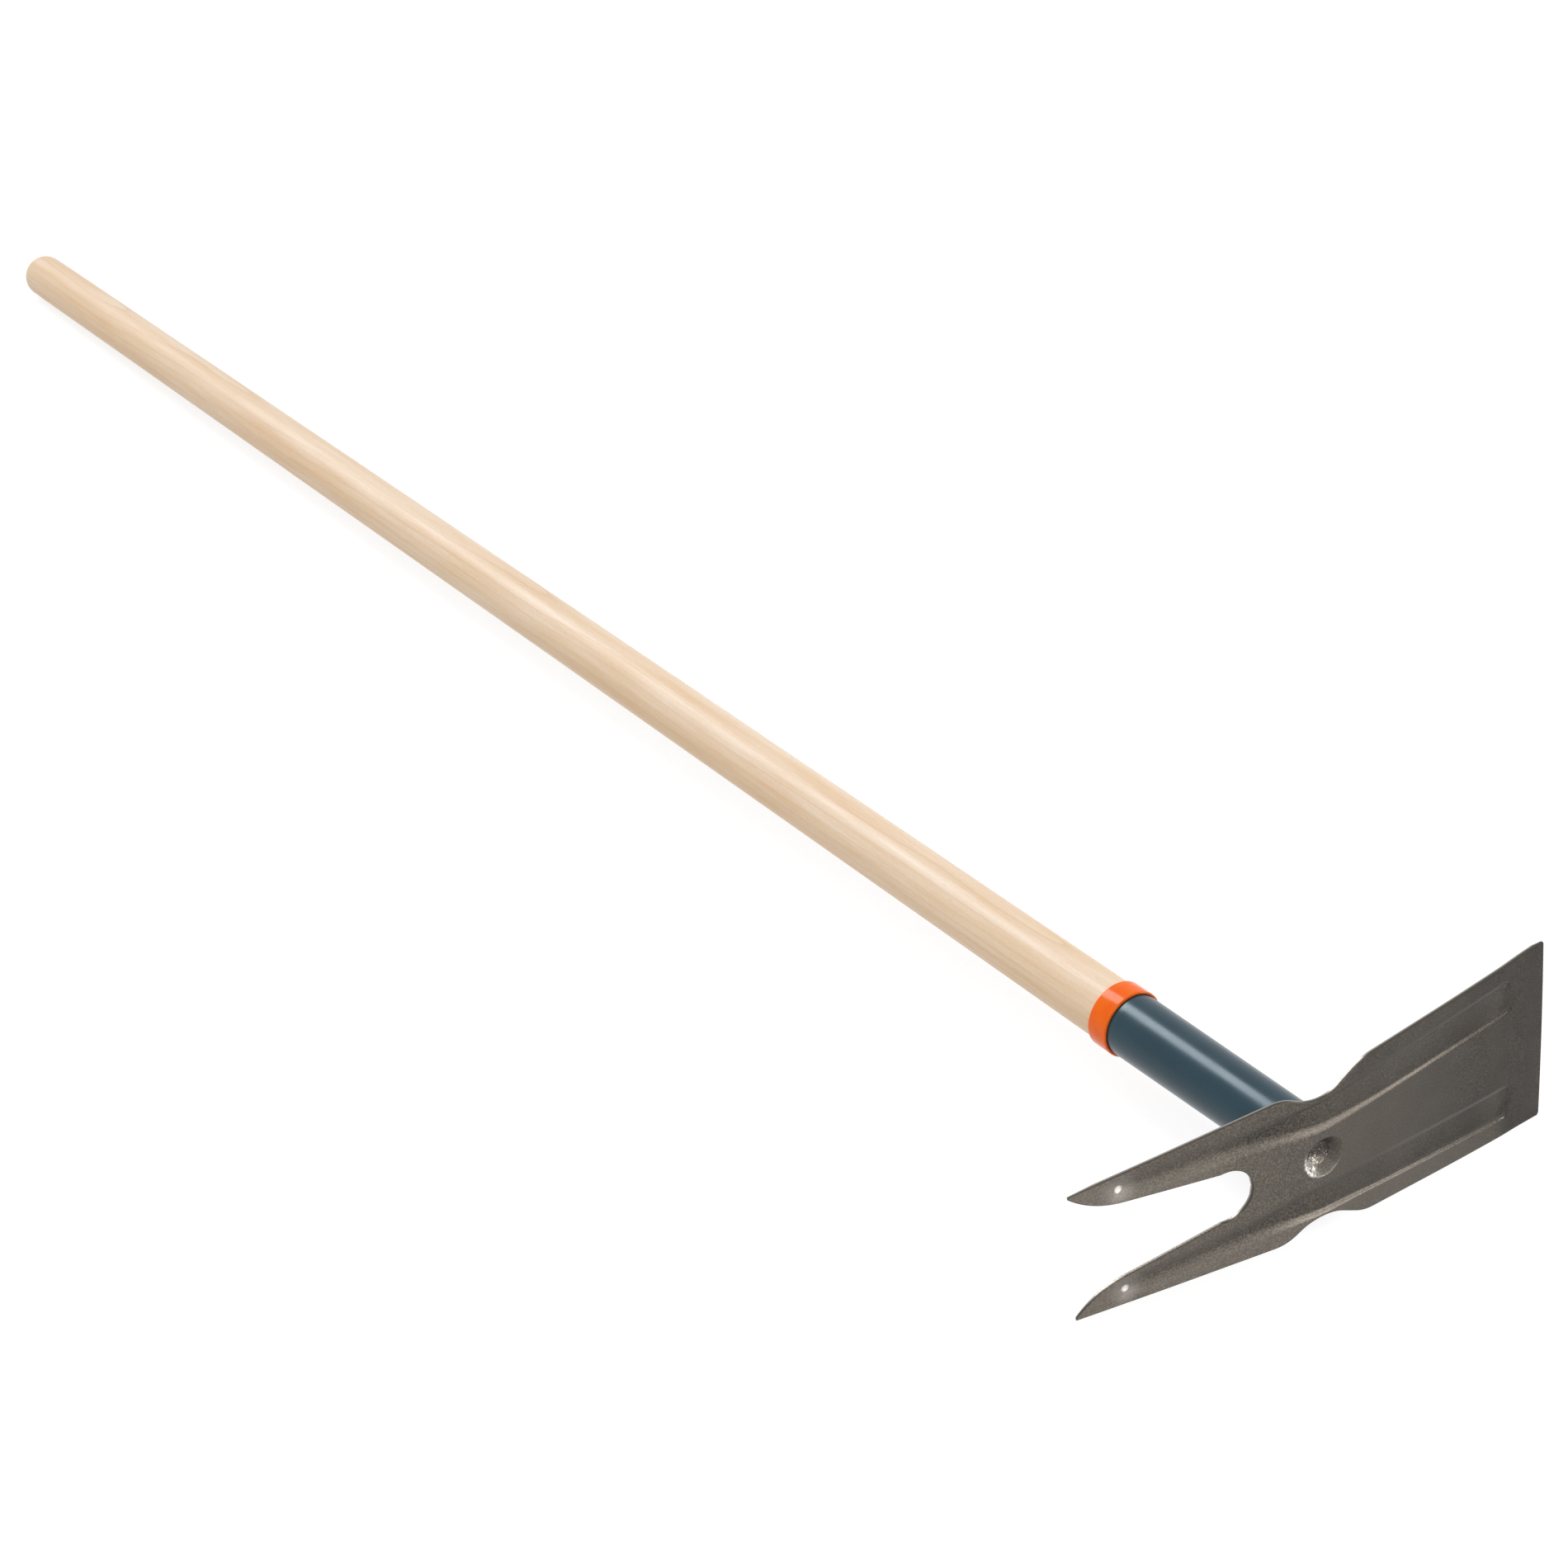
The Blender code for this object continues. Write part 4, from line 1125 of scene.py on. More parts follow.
        # Start, end and spacing of each span.
        spans = [(-self.tine_reach, -107.0, 1.6), (-107.0, -90.0, 0.7), (-90.0, -62.0, 2.0),
                 (-62.0, -14.0, 1.4), (-14.0, 14.0, 0.5), (14.0, 45.0, 1.5), (45.0, 92.0, 2.4),
                 (92.0, 115.0, 0.7), (115.0, self.blade_reach, 1.6)]
        wanted = [-self.fork_bottom]
        for start, end, step in spans:
            wanted += list(np.arange(start, end, step))
        wanted += [float(x) for x in self.outer[:, 0]] + [float(x) for x in self.inner[:, 0]]
        wanted += [self.blade_reach - self.cutting_bevel, self.point_bevel - self.tine_reach]
        ends = [-self.tine_reach, -self.fork_bottom, self.blade_reach]
        apart = [x for x in wanted if min(abs(x - end) for end in ends) > self.end_margin]
        wanted = sorted(apart + ends)
        kept = [wanted[0]]
        for x in wanted[1:]:
            if x - kept[-1] > self.least_station:
                kept.append(x)
            elif x in ends:
                kept[-1] = x
        return kept

    def columns(self, x: float) -> np.ndarray:
        """Choose the points across the upper half of the plate at one station.

        Args:
            x: Place of the station along the head.

        Returns:
            Places across the head, from inside to outside.
        """
        outside = height_at(self.outer, x)
        inside = height_at(self.inner, x) if x < -self.fork_bottom else 0.0
        # Past the groove on a tine, the points spread evenly on the way to the tine's point.
        place = max(x, self.tine_end)
        end_outside = height_at(self.outer, place)
        end_inside = height_at(self.inner, place) if place < -self.fork_bottom else 0.0
        to_point = (place - x) / (self.tine_end + self.tine_reach)
        total = sum(self.column_counts)
        lips = []
        for side, count in ((-1.0, self.column_counts[0]), (1.0, sum(self.column_counts[:2]))):
            lip = float(self.groove_centre(np.float64(place)) + side * self.groove_half_width(place))
            lip = min(max(lip, end_inside + self.lip_margin), end_outside - self.lip_margin)
            share = mix((lip - end_inside) / (end_outside - end_inside), count / total, to_point)
            lips.append(mix(inside, outside, share))
        rows = [np.linspace(low, high, count, endpoint=False)
                for low, high, count in zip([inside] + lips, lips + [outside], self.column_counts)]
        return np.concatenate(rows + [[outside]])

    def plan(self) -> tuple[list[list[Vector]], list[tuple[int, int]]]:
        """Lay a grid of points over the upper half of the blank.

        Returns:
            The grid, and the row and column of each point on the rim, from the fork's bottom
            round the tine, the outer side and the cutting edge.
        """
        places = self.stations()
        grid = [[Vector((x, z)) for z in self.columns(x)] for x in places]
        # The cutting edge bulges, and the outer half of the blade is drawn out with it.
        for row in grid:
            for point in row:
                crown = self.edge_crown * (1.0 - (2.0 * point.y / self.blade_width) ** 2)
                start = self.blade_sweep_start
                point.x += crown * float(smoothstep((point.x - start) / (self.blade_reach - start)))
        fork = min(range(len(places)), key=lambda index: abs(places[index] + self.fork_bottom))
        last, width = len(grid) - 1, len(grid[0]) - 1
        rim = [(index, 0) for index in range(fork, -1, -1)]
        rim += [(0, column) for column in range(1, width + 1)]
        rim += [(index, width) for index in range(1, last + 1)]
        rim += [(last, column) for column in range(width - 1, -1, -1)]
        return grid, rim

    def rim_line(self, outline: Sequence[Vector], share: float) -> list[Vector]:
        """Draw an outline inwards.

        Args:
            outline: Points of the outline in order.
            share: Share of the rim's width to draw it in by.

        Returns:
            The moved points.
        """
        mirrored = [Vector((point.x, -point.y)) for point in (outline[1], outline[-2])]
        line = [mirrored[0], *outline, mirrored[1]]
        drawn = []
        for before, here, after in zip(line, line[1:], line[2:]):
            first = (here - before).normalized()
            second = (after - here).normalized()
            normal = Vector((-first.y, first.x))
            bisector = (normal + Vector((-second.y, second.x))).normalized()
            stretch = max(bisector.dot(normal), 0.5)
            drawn.append(here - bisector * (self.rim_width(here.x) * share / stretch))
        return drawn

    def keep_apart(self, row: list[Vector]) -> None:
        """Hold a row's inner points apart where its ends have closed in on them.

        Args:
            row: Points from inside to outside, which are moved.
        """
        last = len(row) - 1
        least = self.least_column * (row[last].y - row[0].y) / last
        for column in range(1, last):
            lowest = row[0].y + column * least
            highest = row[last].y - (last - column) * least
            row[column].y = min(max(row[column].y, lowest), highest)

    def add_half(self, shape: bmesh.types.BMesh, side: float) -> None:
        """Add the upper (1) or lower (-1) half: front, back and the rounded rim between them.

        Args:
            shape: Mesh that gets the half.
            side: Sign of Z on this half.
        """
        grid, rim = self.plan()
        outline = [grid[index][column].copy() for index, column in rim]
        marks = {mark: shape.verts.layers.float[mark.value] for mark in Mark}
        # Share of the rim's width that each level is drawn in by, and its depth from either face.
        levels = [(1.0, 0.0, False), (0.42, 0.16, False), (0.1, 0.55, False), (0.0, 1.0, False),
                  (0.0, 0.8, True), (0.25, 0.22, True), (0.8, 0.0, True)]
        lines = [self.rim_line(outline, share) for share, _, _ in levels]
        borders = []
        for back, border in ((False, lines[0]), (True, lines[-1])):
            for (index, column), point in zip(rim, border):
                grid[index][column] = point
            for row in grid:
                self.keep_apart(row)
            x = np.array([[point.x for point in row] for row in grid])
            z = side * np.array([[point.y for point in row] for row in grid])
            y = self.front(x, z)
            if back:
                r = np.hypot(x, z)
                y = y + self.thickness_at(x) + self.dish_back(r) - self.dish_front(r)
            else:
                y = y + self.hammer_marks(x, z)
            shares = {Mark.GROOVE_SHADE: self.painted_groove_shade(x, z), Mark.PAINTED_LIGHT_AND_WEAR: self.painted_light_and_wear(x, z),
                      Mark.BRIGHT_METAL_AND_HIGHLIGHT: np.zeros_like(x) if back else self.bright_metal_and_highlight(x, z)}
            rows = []
            for index in range(x.shape[0]):
                row = []
                for column in range(x.shape[1]):
                    vertex = shape.verts.new((x[index, column], y[index, column], z[index, column]))
                    for mark, share in shares.items():
                        vertex[marks[mark]] = share[index, column]
                    row.append(vertex)
                rows.append(row)
            for row, following in zip(rows, rows[1:]):
                for column in range(len(row) - 1):
                    shape.faces.new((row[column], row[column + 1], following[column + 1], following[column]))
            borders.append([rows[index][column] for index, column in rim])
        strips = [borders[0]]
        for (_, depth, back), line in zip(levels[1:-1], lines[1:-1]):
            strip = []
            for point in line:
                thickness = float(self.thickness_at(np.float64(point.x)))
                down = depth * self.rim_width(point.x)
                down = thickness - down if back else down
                y = float(self.front(np.float64(point.x), np.float64(point.y))) + down
                vertex = shape.verts.new((point.x, y, side * point.y))
                vertex[marks[Mark.SHEARED]] = 1.0
                vertex[marks[Mark.SHEAR_DEPTH]] = down / thickness
                strip.append(vertex)
            strips.append(strip)
        strips.append(borders[1])
        for strip, following in zip(strips, strips[1:]):
            for place in range(len(strip) - 1):
                shape.faces.new((strip[place], strip[place + 1], following[place + 1], following[place]))

    def hammer_marks(self, x: np.ndarray, z: np.ndarray) -> np.ndarray:
        """Hammer facets into the dish's wall, and press the dimples on the tines.

        Args:
            x: Places along the head.
            z: Places across it.

        Returns:
            How far the marks move the front face back there.
        """
        marks = np.zeros_like(x)
        worked = self.hammered(x, z)
        for index in np.argwhere(worked > 0.0):
            place = tuple(index)
            # The third coordinate and the factor of the cell only pick one pattern of many.
            point = Vector((x[place], z[place], 3.0)) / self.facet_size
            distances, centres = noise.voronoi(point)
            tilt = noise.cell_vector(centres[0] * 3.0) - Vector((0.5, 0.5, 0.5))
            facet = (point - centres[0]).dot(tilt) * self.facet_tilt
            between = 1.0 - (distances[1] - distances[0]) / self.fold_width
            fold = self.fold_height * float(smoothstep(between))
            up_the_wall = (math.hypot(x[place], z[place]) - self.mound_from) / 2.0
            mound = self.mound_height * float(smoothstep(up_the_wall))
            marks[place] = worked[place] * (facet + fold - mound)
        for centre_x, centre_z in self.spots:
            r = np.hypot(x - centre_x, z - centre_z)
            marks += self.spot_height * smoothstep(1.0 - r / self.spot_radius)
        return marks

    def painted_light_and_wear(self, x: np.ndarray, z: np.ndarray) -> np.ndarray:
        """Paint the metal lighter or darker, place by place: mostly painted light and shade, with a scuff and
        lighter points.

        Args:
            x: Places along the head.
            z: Places across it.

        Returns:
            How much lighter the metal is painted there, and less than 0 where it is darker.
        """
        across = np.abs(z)
        half = self.groove_half_width(x)
        pressed = self.pressed(x, across)

        # Painted light: the lower flange is painted lighter and the upper one darker, following how the light
        # falls on them.
        flange = smoothstep((across - self.groove_centre(x) - 0.5 * half) / (0.5 * half))
        lower = 1.0 + 0.5 * smoothstep((x - 20.0) / 50.0)
        upper = -0.35 - 0.45 * np.exp(-((x - 25.0) / 25.0) ** 2)
        painted_light_and_wear = np.where(z < 0.0, lower, upper) * flange * (1.0 - smoothstep((x - 98.0) / 15.0))

        # The grooves are darker at the neck, the upper one more. Towards the cutting edge their floors are
        # painted lighter, as painted light.
        neck = np.exp(-((x + 28.0) / 20.0) ** 2) * pressed
        painted_light_and_wear = painted_light_and_wear - np.where(z < 0.0, 0.5, 1.0) * neck
        painted_light_and_wear = painted_light_and_wear + 0.7 * pressed * smoothstep((x - 82.0) / 20.0)

        # The inner strips of the tines are painted lighter, the upper one most, as painted light on faces
        # that turn up. The points are lighter too.
        strip = smoothstep((self.groove_centre(x) - 0.6 * half - across) / 2.0)
        painted_light_and_wear = painted_light_and_wear + np.where(z < 0.0, 0.1, 0.8) * strip * smoothstep((-x - 40.0) / 20.0)
        painted_light_and_wear = painted_light_and_wear + 0.6 * smoothstep((-x - 96.0) / 12.0)
        centre_x, centre_z, length, width = self.scuff
        painted_light_and_wear = painted_light_and_wear - 1.1 * np.exp(-((x - centre_x) / length) ** 2 - ((z - centre_z) / width) ** 2)

        # Painted shade in the dish, most of all under its upper side.
        depth = self.dish_front(np.hypot(x, z)) / self.dish_depth
        return painted_light_and_wear - (self.dish_shade + smoothstep((z + 1.0) / 7.0)) * depth

    def bright_metal_and_highlight(self, x: np.ndarray, z: np.ndarray) -> np.ndarray:
        """Paint highlights where the hammer struck the dish's wall and on the tines' dimples.

        Args:
            x: Places along the head.
            z: Places across it.

        Returns:
            How bright it is there, from 0 to 1.
        """
        shine = np.zeros_like(x)
        # Painted highlight on the struck part of the dish's wall, low on the fork's side, over metal that the
        # hammer left brighter.
        worked = self.hammered(x, z)
        for index in np.argwhere(worked > 0.0):
            place = tuple(index)
            # The blows miss a spot here and there, about a millimetre wide.
            speckle = noise.noise(Vector((x[place], z[place], 7.0)) * 0.9)
            shine[place] = float(smoothstep(worked[place] * (0.75 + 1.3 * speckle) + 0.1))
        # Painted highlights, each with a painted halo, on the dimples at the grooves' ends on the tines.
        for centre_x, centre_z in self.spots:
            r = np.hypot(x - centre_x, z - centre_z)
            shine = np.maximum(shine, smoothstep((self.spot_radius - r) / 1.3))
            shine = np.maximum(shine, self.halo_shine * smoothstep(1.0 - r / self.halo_radius))
        return shine

    def build(self) -> bpy.types.Object:
        """Make both halves of the plate and punch the hole for the tang's shank.

        Returns:
            The new piece.
        """
        shape = bmesh.new()
        for mark in Mark:
            shape.verts.layers.float.new(mark.value)
        self.add_half(shape, 1.0)
        self.add_half(shape, -1.0)
        bmesh.ops.remove_doubles(shape, verts=shape.verts, dist=self.weld)
        plate = place_piece("stamped_head_plate", shape)
        start, end = self.punch_span
        punch = place_piece("shank_punch", turned_shape([
            (0.0, start), (self.shank_hole, start), (self.shank_hole, end), (0.0, end)],
            False, self.hole_steps))
        cut = plate.modifiers.new("shank_hole", "BOOLEAN")
        cut.object = punch
        cut.operation = "DIFFERENCE"
        cut.solver = "EXACT"
        bpy.context.view_layer.update()
        evaluated = plate.evaluated_get(bpy.context.evaluated_depsgraph_get())
        finished = bpy.data.meshes.new_from_object(evaluated)
        plate.modifiers.clear()
        plate.data = finished
        finished.name = plate.name
        bpy.data.objects.remove(punch, do_unlink=True)
        return plate

    def dress(self, finish: BlastedSteel) -> None:
        """Build the plate and give it its finish."""
        dress(self.build(), finish.material(), "head_plate")


@dataclass
class Tang:
    """Forged tang: its front end is hammered over in the dish, its spike holds the wood.

    Sizes are in millimetres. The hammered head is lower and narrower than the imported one. Its
    rim runs into the dish's wall, where the two meshes overlap by up to 1 mm.
    """

    head_radius: float = 6.3
    head_height: float = 0.8
    head_rim: float = 0.02              # how far the crown's edge stands in front of the seat
    head_seat: float = 3.7
    lip_inset: float = 0.2
    lip_drop: float = 0.1
    shank_radius: float = 4.0
    shoulder_start: float = 6.2
    shoulder_radius: float = 9.5
    shoulder_thickness: float = 3.0
    spike_radius: float = 4.5
    spike_length: float = 85.0
    point_radius: float = 1.5
    point_length: float = 4.0
    shoulder_chamfer: float = 0.3
    crown_power: float = 2.2            # how late the head's crown falls off
    crown_steps: int = 20
    steps: int = 72
    sharp_angle: float = 24.0
    untouched: float = 0.05             # margin that the hammer leaves at the head's rim
    facet_size: float = 2.3
    facet_tilt: float = 0.45
    fold_height: float = 0.14
    fold_width: float = 0.15            # as a share of a facet's size
    grain_height: float = 0.06
    bulge: float = 0.9                  # height of the lump that the last blows left
    bulge_at: tuple[float, float] = (-3.2, -2.6)
    bulge_radius: float = 4.2

    def build(self) -> bpy.types.Object:
        """Make the tang, with the hammer's marks on its head.

        Returns:
            The new piece.
        """
        top = self.head_seat - self.head_height
        spike = self.shoulder_start + self.shoulder_thickness
        point = spike + self.spike_length
        chamfer = self.shoulder_chamfer
        rim = self.head_seat - self.head_rim
        crown = [(self.head_radius * step / self.crown_steps,
                  mix(top, rim, (step / self.crown_steps) ** self.crown_power))
                 for step in range(self.crown_steps + 1)]
        profile = crown + [
            (self.head_radius - self.lip_inset, self.head_seat + self.lip_drop),
            (self.shank_radius, self.head_seat),
            (self.shank_radius, self.shoulder_start),
            (self.shoulder_radius - chamfer, self.shoulder_start),
            (self.shoulder_radius, self.shoulder_start + chamfer),
            (self.shoulder_radius, spike - chamfer),
            (self.shoulder_radius - chamfer, spike),
            (self.spike_radius, spike),
            (self.point_radius, point - self.point_length),
            (0.0, point),
        ]
        shape = turned_shape(profile, False, self.steps)
        for vertex in shape.verts:
            r = math.hypot(vertex.co.x, vertex.co.z)
            if vertex.co.y > self.head_seat - self.untouched or r > self.head_radius - self.untouched:
                continue
            # The third coordinates and the factor of the cell only pick one pattern of many.
            point = Vector((vertex.co.x, vertex.co.z, 0.7)) / self.facet_size
            distances, centres = noise.voronoi(point)
            tilt = noise.cell_vector(centres[0] * 5.0) - Vector((0.5, 0.5, 0.5))
            fold = float(smoothstep(1.0 - (distances[1] - distances[0]) / self.fold_width))
            grain = noise.noise(Vector((vertex.co.x, vertex.co.z, 2.0)) * 1.6)
            calm = float(smoothstep(self.head_radius - r))
            facet = (point - centres[0]).dot(tilt) * self.facet_tilt
            vertex.co.y += calm * (facet + self.fold_height * fold + self.grain_height * grain)
            low = math.hypot(vertex.co.x - self.bulge_at[0], vertex.co.z - self.bulge_at[1])
            vertex.co.y -= calm * self.bulge * float(smoothstep(1.0 - low / self.bulge_radius))
        return place_piece("peened_tang", shape, self.sharp_angle)

    def dress(self, finish: PeenedSteel) -> None:
        """Build the tang and give it its finish."""
        dress(self.build(), finish.material(), "tang")


@dataclass
class Ferrule:
    """Tapered steel tube, its foot cut to the bend of the plate that it stands on.

    Sizes are in millimetres.
    """

    foot_radius: float = 14.6
    rim_radius: float = 15.4
    wall: float = 1.2
    length: float = 131.2
    rim_rounding: float = 0.3
    foot_chamfer: float = 0.15
    chamfer_share: float = 0.0015       # of the length, where the foot's chamfer ends
    seat_gap: float = 0.3
    levels: int = 14
    steps: int = 128
    sharp_angle: float = 50.0

    def build(self, plate: HeadPlate) -> bpy.types.Object:
        """Make the tube, with its foot standing on the back of the plate.

        Args:
            plate: Head plate that carries the ferrule.

        Returns:
            The new piece.
        """
        shape = bmesh.new()
        rounding, chamfer = self.rim_rounding, self.foot_chamfer
        # Each point of the profile has a radius and a share of the way from the foot to the rim.
        profile = [(self.foot_radius - self.wall + chamfer, 0.0), (self.foot_radius - chamfer, 0.0)]
        profile += [(mix(self.foot_radius, self.rim_radius, share), max(share, self.chamfer_share))
                    for share in np.linspace(0.0, 1.0, self.levels)[:-1]]
        profile += [(self.rim_radius, 1.0 - rounding / self.length),
                    (self.rim_radius - rounding * 0.3, 1.0 - rounding * 0.3 / self.length),
                    (self.rim_radius - rounding, 1.0),
                    (self.rim_radius - self.wall + rounding, 1.0),
                    (self.rim_radius - self.wall, 1.0 - rounding / self.length),
                    (self.foot_radius - self.wall, self.chamfer_share)]
        rings = []
        for radius, share in profile:
            ring = []
            for step in range(self.steps):
                angle = math.tau * step / self.steps
                x, z = radius * math.cos(angle), radius * math.sin(angle)
                foot = float(plate.sweep(np.float64(x))) + plate.thickness + self.seat_gap
                ring.append(shape.verts.new((x, mix(foot, self.length, share), z)))
            rings.append(ring)
        for first, second in zip(rings, rings[1:] + rings[:1]):
            for step in range(self.steps):
                after = (step + 1) % self.steps
                shape.faces.new((first[step], first[after], second[after], second[step]))
        return place_piece("enamelled_ferrule", shape, self.sharp_angle)

    def dress(self, plate: HeadPlate, finish: StovedEnamel) -> None:
        """Build the ferrule on the plate and give it its finish."""
        dress(self.build(plate), finish.material(), "ferrule")


@dataclass
class Collar:
    """Moulded collar over the joint between the ferrule and the wood.

    Sizes are in millimetres.
    """

    start: float = 125.7
    length: float = 12.0
    outer_radius: float = 16.55
    edge_radius: float = 0.7
    ferrule_bore: float = 15.55
    handle_bore: float = 15.3
    step_at: float = 131.5              # place of the step between the two bores
    arc_step: float = 12.0
    steps: int = 144
    sharp_angle: float = 40.0

    def build(self) -> bpy.types.Object:
        """Make the ring with both its outer edges rounded.

        Returns:
            The new piece.
        """
        end = self.start + self.length
        outer = rounded_path([
            (self.ferrule_bore, self.start), (self.outer_radius, self.start),
            (self.outer_radius, end), (self.handle_bore, end)],
            [self.edge_radius, self.edge_radius], self.arc_step)
        profile = [tuple(point) for point in outer]
        profile += [(self.handle_bore, self.step_at), (self.ferrule_bore, self.step_at)]
        return place_piece("moulded_collar", turned_shape(profile, True, self.steps),
                           self.sharp_angle)

    def dress(self, finish: MouldedPolypropylene) -> None:
        """Build the collar and give it its finish."""
        dress(self.build(), finish.material(), "collar")


@dataclass
class Handle:
    """Turned handle: a bored tenon inside the ferrule, a straight shaft and a domed butt.

    Sizes are in millimetres.
    """

    radius: float = 14.97
    length: float = 1371.999
    start: float = 9.5
    dome_length: float = 13.0
    tenon_foot: float = 13.1            # radius that the taper would have at the head's front
    tenon_rim: float = 13.9
    tenon_taper: float = 131.2          # length of that taper
    tenon_chamfer: float = 1.5
    shoulder: float = 131.5
    shoulder_rounding: float = 0.4
    bore_radius: float = 4.8
    bore_length: float = 85.0
    bore_point: float = 1.8
    bore_point_length: float = 3.7
    first_ring: float = 20.0            # past the shoulder
    last_ring: float = 4.0              # before the dome
    rings: int = 30                     # along the straight shaft
    dome_steps: int = 24
    steps: int = 128

    def build(self) -> bpy.types.Object:
        """Make the handle.

        Returns:
            The new piece.
        """
        end = self.start + self.length
        foot = mix(self.tenon_foot, self.tenon_rim, self.start / self.tenon_taper)
        profile = [
            (0.0, self.start + self.bore_length),
            (self.bore_point, self.start + self.bore_length - self.bore_point_length),
            (self.bore_radius, self.start),
            (foot - self.tenon_chamfer, self.start),
            (foot, self.start + self.tenon_chamfer),
            (self.tenon_rim, self.shoulder),
            (self.radius - self.shoulder_rounding, self.shoulder),
            (self.radius, self.shoulder + self.shoulder_rounding),
        ]
        shaft_end = end - self.dome_length
        along = np.linspace(self.shoulder + self.first_ring, shaft_end - self.last_ring, self.rings)
        profile += [(self.radius, y) for y in along]
        for step in range(self.dome_steps + 1):
            angle = math.radians(90.0) * step / self.dome_steps
            radius = self.radius * math.cos(angle) if step < self.dome_steps else 0.0
            profile.append((radius, shaft_end + self.dome_length * math.sin(angle)))
        return place_piece("turned_handle", turned_shape(profile, False, self.steps))

    def dress(self, finish: LacqueredBirch) -> None:
        """Build the handle and give it its finish."""
        dress(self.build(), finish.material(), "handle")


# The studio


@dataclass(frozen=True)
class Softbox:
    """Area lamp behind a diffuser. Lengths are in metres."""

    name: str
    place: tuple[float, float, float]
    aim: tuple[float, float, float]
    size: tuple[float, float]
    power: float                        # watts
    colour: str = "#ffffff"

    def add(self) -> None:
        """Hang the lamp."""
        data = bpy.data.lights.new(self.name, "AREA")
        data.shape = "RECTANGLE"
        data.size, data.size_y = self.size
        data.energy = self.power
        data.color = linear(self.colour)[:3]
        lamp = bpy.data.objects.new(self.name, data)
        bpy.context.scene.collection.objects.link(lamp)
        lamp.location = self.place
        away = Vector(self.aim) - Vector(self.place)
        lamp.rotation_euler = away.to_track_quat("-Z", "Y").to_euler()
        lamp.visible_camera = False


@dataclass(frozen=True)
class PhotographView:
    """Camera that sees the hoe as the photograph does.

    Its angles are in degrees, in the hoe's own frame. It sees the origin of that frame at
    origin_at in the photograph.
    """

    focal_length: float = 3778.9974     # pixels
    azimuth: float = -30.9972
    elevation: float = 32.2897
    roll: float = -7.0881
    origin_at: tuple[float, float] = (1605.5327, 1402.3448)     # pixels
    distance: float = 1322.2395         # millimetres
    sight: float = 50.0                 # metres

    def matrix(self) -> Matrix:
        """Work out where the camera stands.

        Returns:
            Matrix from the camera to the floor's frame, in metres.
        """
        azimuth, elevation, roll = (math.radians(angle)
                                    for angle in (self.azimuth, self.elevation, self.roll))
        back = Vector((math.sin(azimuth) * math.cos(elevation), -math.cos(azimuth) * math.cos(elevation),
                       math.sin(elevation)))
        level = (-back).cross(Vector((0.0, 0.0, 1.0))).normalized()
        upright = level.cross(-back)
        right = math.cos(roll) * level + math.sin(roll) * upright
        up = -math.sin(roll) * level + math.cos(roll) * upright
        middle = FRAME_PIXELS / 2.0
        across = (self.origin_at[0] - middle) / self.focal_length * self.distance
        down = (self.origin_at[1] - middle) / self.focal_length * self.distance
        centre = (back * self.distance - right * across + up * down) * METRES
        view = Matrix.Identity(4)
        for column, axis in enumerate((right, up, back, centre)):
            for row in range(3):
                view[row][column] = axis[row]
        return LAYING.matrix() @ view

    def add(self) -> None:
        """Put the camera in place."""
        data = bpy.data.cameras.new("photograph_view")
        data.sensor_width = FILM_WIDTH
        data.lens = self.focal_length / FRAME_PIXELS * FILM_WIDTH
        data.clip_end = self.sight
        camera = bpy.data.objects.new("photograph_view", data)
        bpy.context.scene.collection.objects.link(camera)
        camera.matrix_world = self.matrix()
        bpy.context.scene.camera = camera


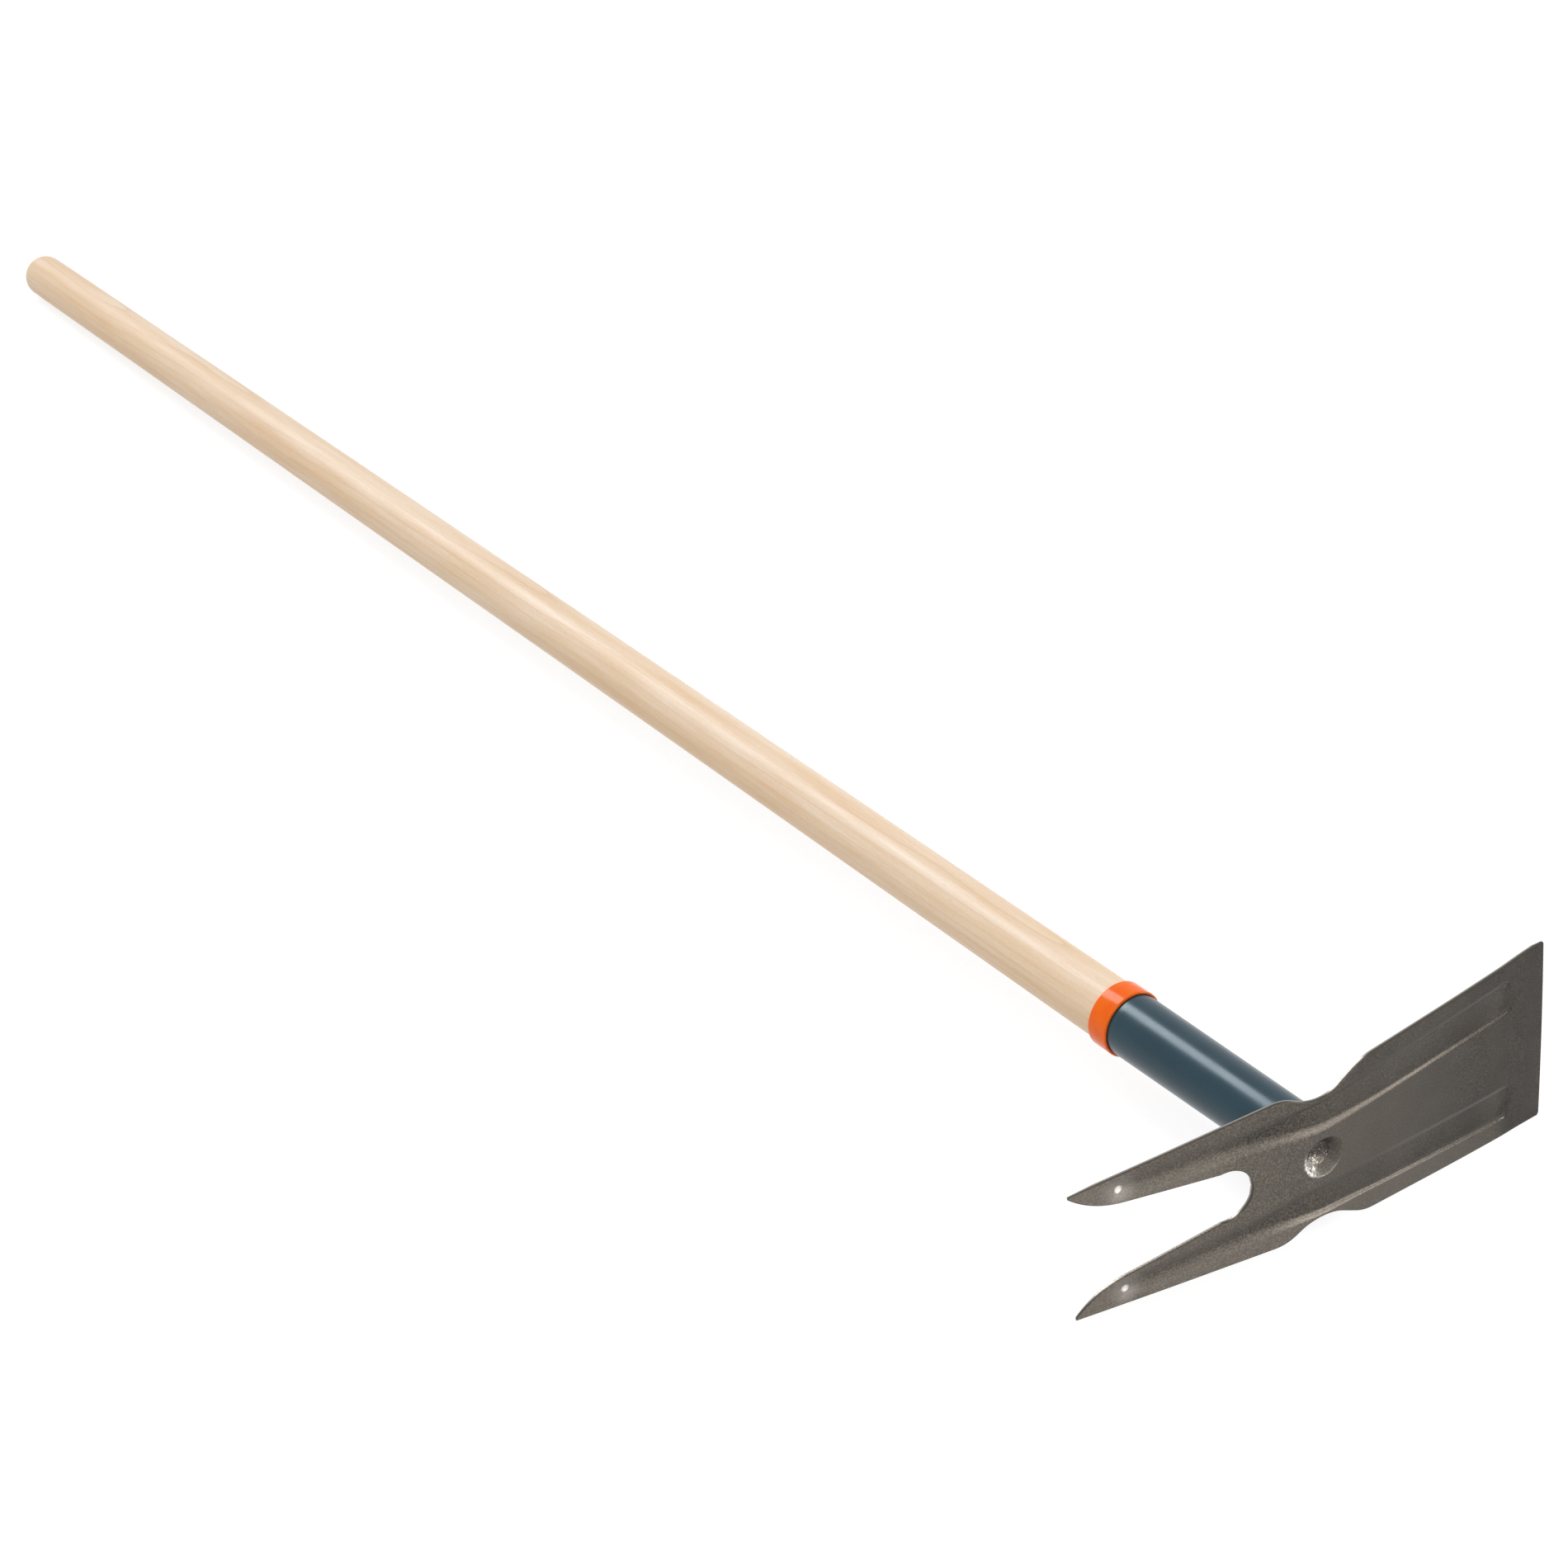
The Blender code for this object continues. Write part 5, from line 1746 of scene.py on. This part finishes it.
@dataclass
class Studio:
    """Pale floor, white surroundings and soft lamps. Lengths are in metres."""

    floor_size: float = 14.0
    floor_colour: str = "#e6e6e4"
    seen_glow: float = 0.82             # of the floor, on top of what the lamps light
    shadow_colour: str = "#8f8f8f"
    shadow_reach: float = 1.3           # from here on the floor's shadow fades
    surroundings: str = "#ffffff"
    fill: float = 0.48                  # strength of the surroundings' light
    lamps: tuple[Softbox, ...] = (
        Softbox("back_softbox", (-0.55, 6.6, 7.4), (0.0, -0.2, 0.0), (4.0, 4.9), 570.0),
        Softbox("front_softbox", (0.33, -1.84, 0.14), (0.0, -0.69, 0.05), (0.7, 0.2), 8.0),
        Softbox("side_softbox", (1.15, -0.95, 0.45), (0.0, -0.69, 0.05), (0.5, 0.5), 5.0),
        Softbox("key_softbox", (-1.8, -2.4, 2.6), (0.0, -0.4, 0.0), (1.6, 1.6), 28.0),
    )

    def seen_ray(self, tree: bpy.types.NodeTree) -> bpy.types.NodeSocket:
        """Tell what is seen from what lights.

        Args:
            tree: Tree of the material or the world.

        Returns:
            One for what the camera sees, also by way of metal or glass, and zero for light.
        """
        ray = add_node(tree, "ShaderNodeLightPath")
        seen = ray.outputs["Is Camera Ray"]
        for kind in ("Is Glossy Ray", "Is Transmission Ray"):
            seen = add_node(tree, "ShaderNodeMath", {0: seen, 1: ray.outputs[kind]},
                            operation="MAXIMUM").outputs["Value"]
        return seen

    def floor_material(self) -> bpy.types.Material:
        """Make a floor that is white to the camera and plain pale paper to the light.

        Returns:
            The new material, which keeps the hoe's soft shadow.
        """
        material = bpy.data.materials.new("studio_floor")
        material.use_nodes = True
        tree = material.node_tree
        tree.nodes.clear()
        seen = self.seen_ray(tree)
        paper = add_node(tree, "ShaderNodeBsdfDiffuse", {"Color": linear(self.floor_colour)})
        glow = add_node(tree, "ShaderNodeEmission", {"Strength": self.seen_glow})
        shaded = add_node(tree, "ShaderNodeBsdfDiffuse", {"Color": linear(self.shadow_colour)})
        near = add_node(tree, "ShaderNodeAddShader", {0: glow.outputs["Emission"], 1: shaded.outputs["BSDF"]})
        reach = add_node(tree, "ShaderNodeVectorMath", {
            0: add_node(tree, "ShaderNodeTexCoord").outputs["Object"]}, operation="LENGTH")
        away = add_node(tree, "ShaderNodeMapRange", {
            "Value": reach.outputs["Value"],
            "From Min": self.shadow_reach, "From Max": 2.0 * self.shadow_reach},
            interpolation_type="SMOOTHSTEP")
        white = add_node(tree, "ShaderNodeMixShader", {
            "Fac": away.outputs["Result"], 1: near.outputs["Shader"],
            2: add_node(tree, "ShaderNodeEmission").outputs["Emission"]})
        choice = add_node(tree, "ShaderNodeMixShader", {
            "Fac": seen, 1: paper.outputs["BSDF"], 2: white.outputs["Shader"]})
        add_node(tree, "ShaderNodeOutputMaterial", {"Surface": choice.outputs["Shader"]})
        return material

    def add_floor(self) -> None:
        """Lay the floor."""
        half = self.floor_size / 2.0
        mesh = bpy.data.meshes.new("studio_floor")
        mesh.from_pydata([(-half, -half, 0.0), (half, -half, 0.0), (half, half, 0.0), (-half, half, 0.0)],
                         [], [(0, 1, 2, 3)])
        mesh.materials.append(self.floor_material())
        floor = bpy.data.objects.new("studio_floor", mesh)
        bpy.context.scene.collection.objects.link(floor)

    def add_surroundings(self) -> None:
        """White to the camera, metal and glass, and a soft fill to everything else."""
        world = bpy.data.worlds.new("studio")
        bpy.context.scene.world = world
        world.use_nodes = True
        tree = world.node_tree
        tree.nodes.clear()
        seen = self.seen_ray(tree)
        fill, white = (add_node(tree, "ShaderNodeBackground", {
            "Color": linear(self.surroundings), "Strength": strength}) for strength in (self.fill, 1.0))
        choice = add_node(tree, "ShaderNodeMixShader", {
            "Fac": seen, 1: fill.outputs["Background"], 2: white.outputs["Background"]})
        add_node(tree, "ShaderNodeOutputWorld", {"Surface": choice.outputs["Shader"]})

    def build(self) -> None:
        """Set up floor, surroundings, lamps and camera."""
        self.add_floor()
        self.add_surroundings()
        for lamp in self.lamps:
            lamp.add()
        PhotographView().add()
        bpy.context.scene.view_settings.view_transform = "Standard"
        log.info("studio: floor, surroundings, %d lamps, camera", len(self.lamps))


def main() -> None:
    """Build the hoe piece by piece, then the studio around it."""
    logging.basicConfig(level=logging.INFO, format="%(message)s")
    plate = HeadPlate()
    plate.dress(BlastedSteel())
    Tang().dress(PeenedSteel())
    Ferrule().dress(plate, StovedEnamel())
    Collar().dress(MouldedPolypropylene())
    Handle().dress(LacqueredBirch())
    Studio().build()


if __name__ == "__main__":
    main()
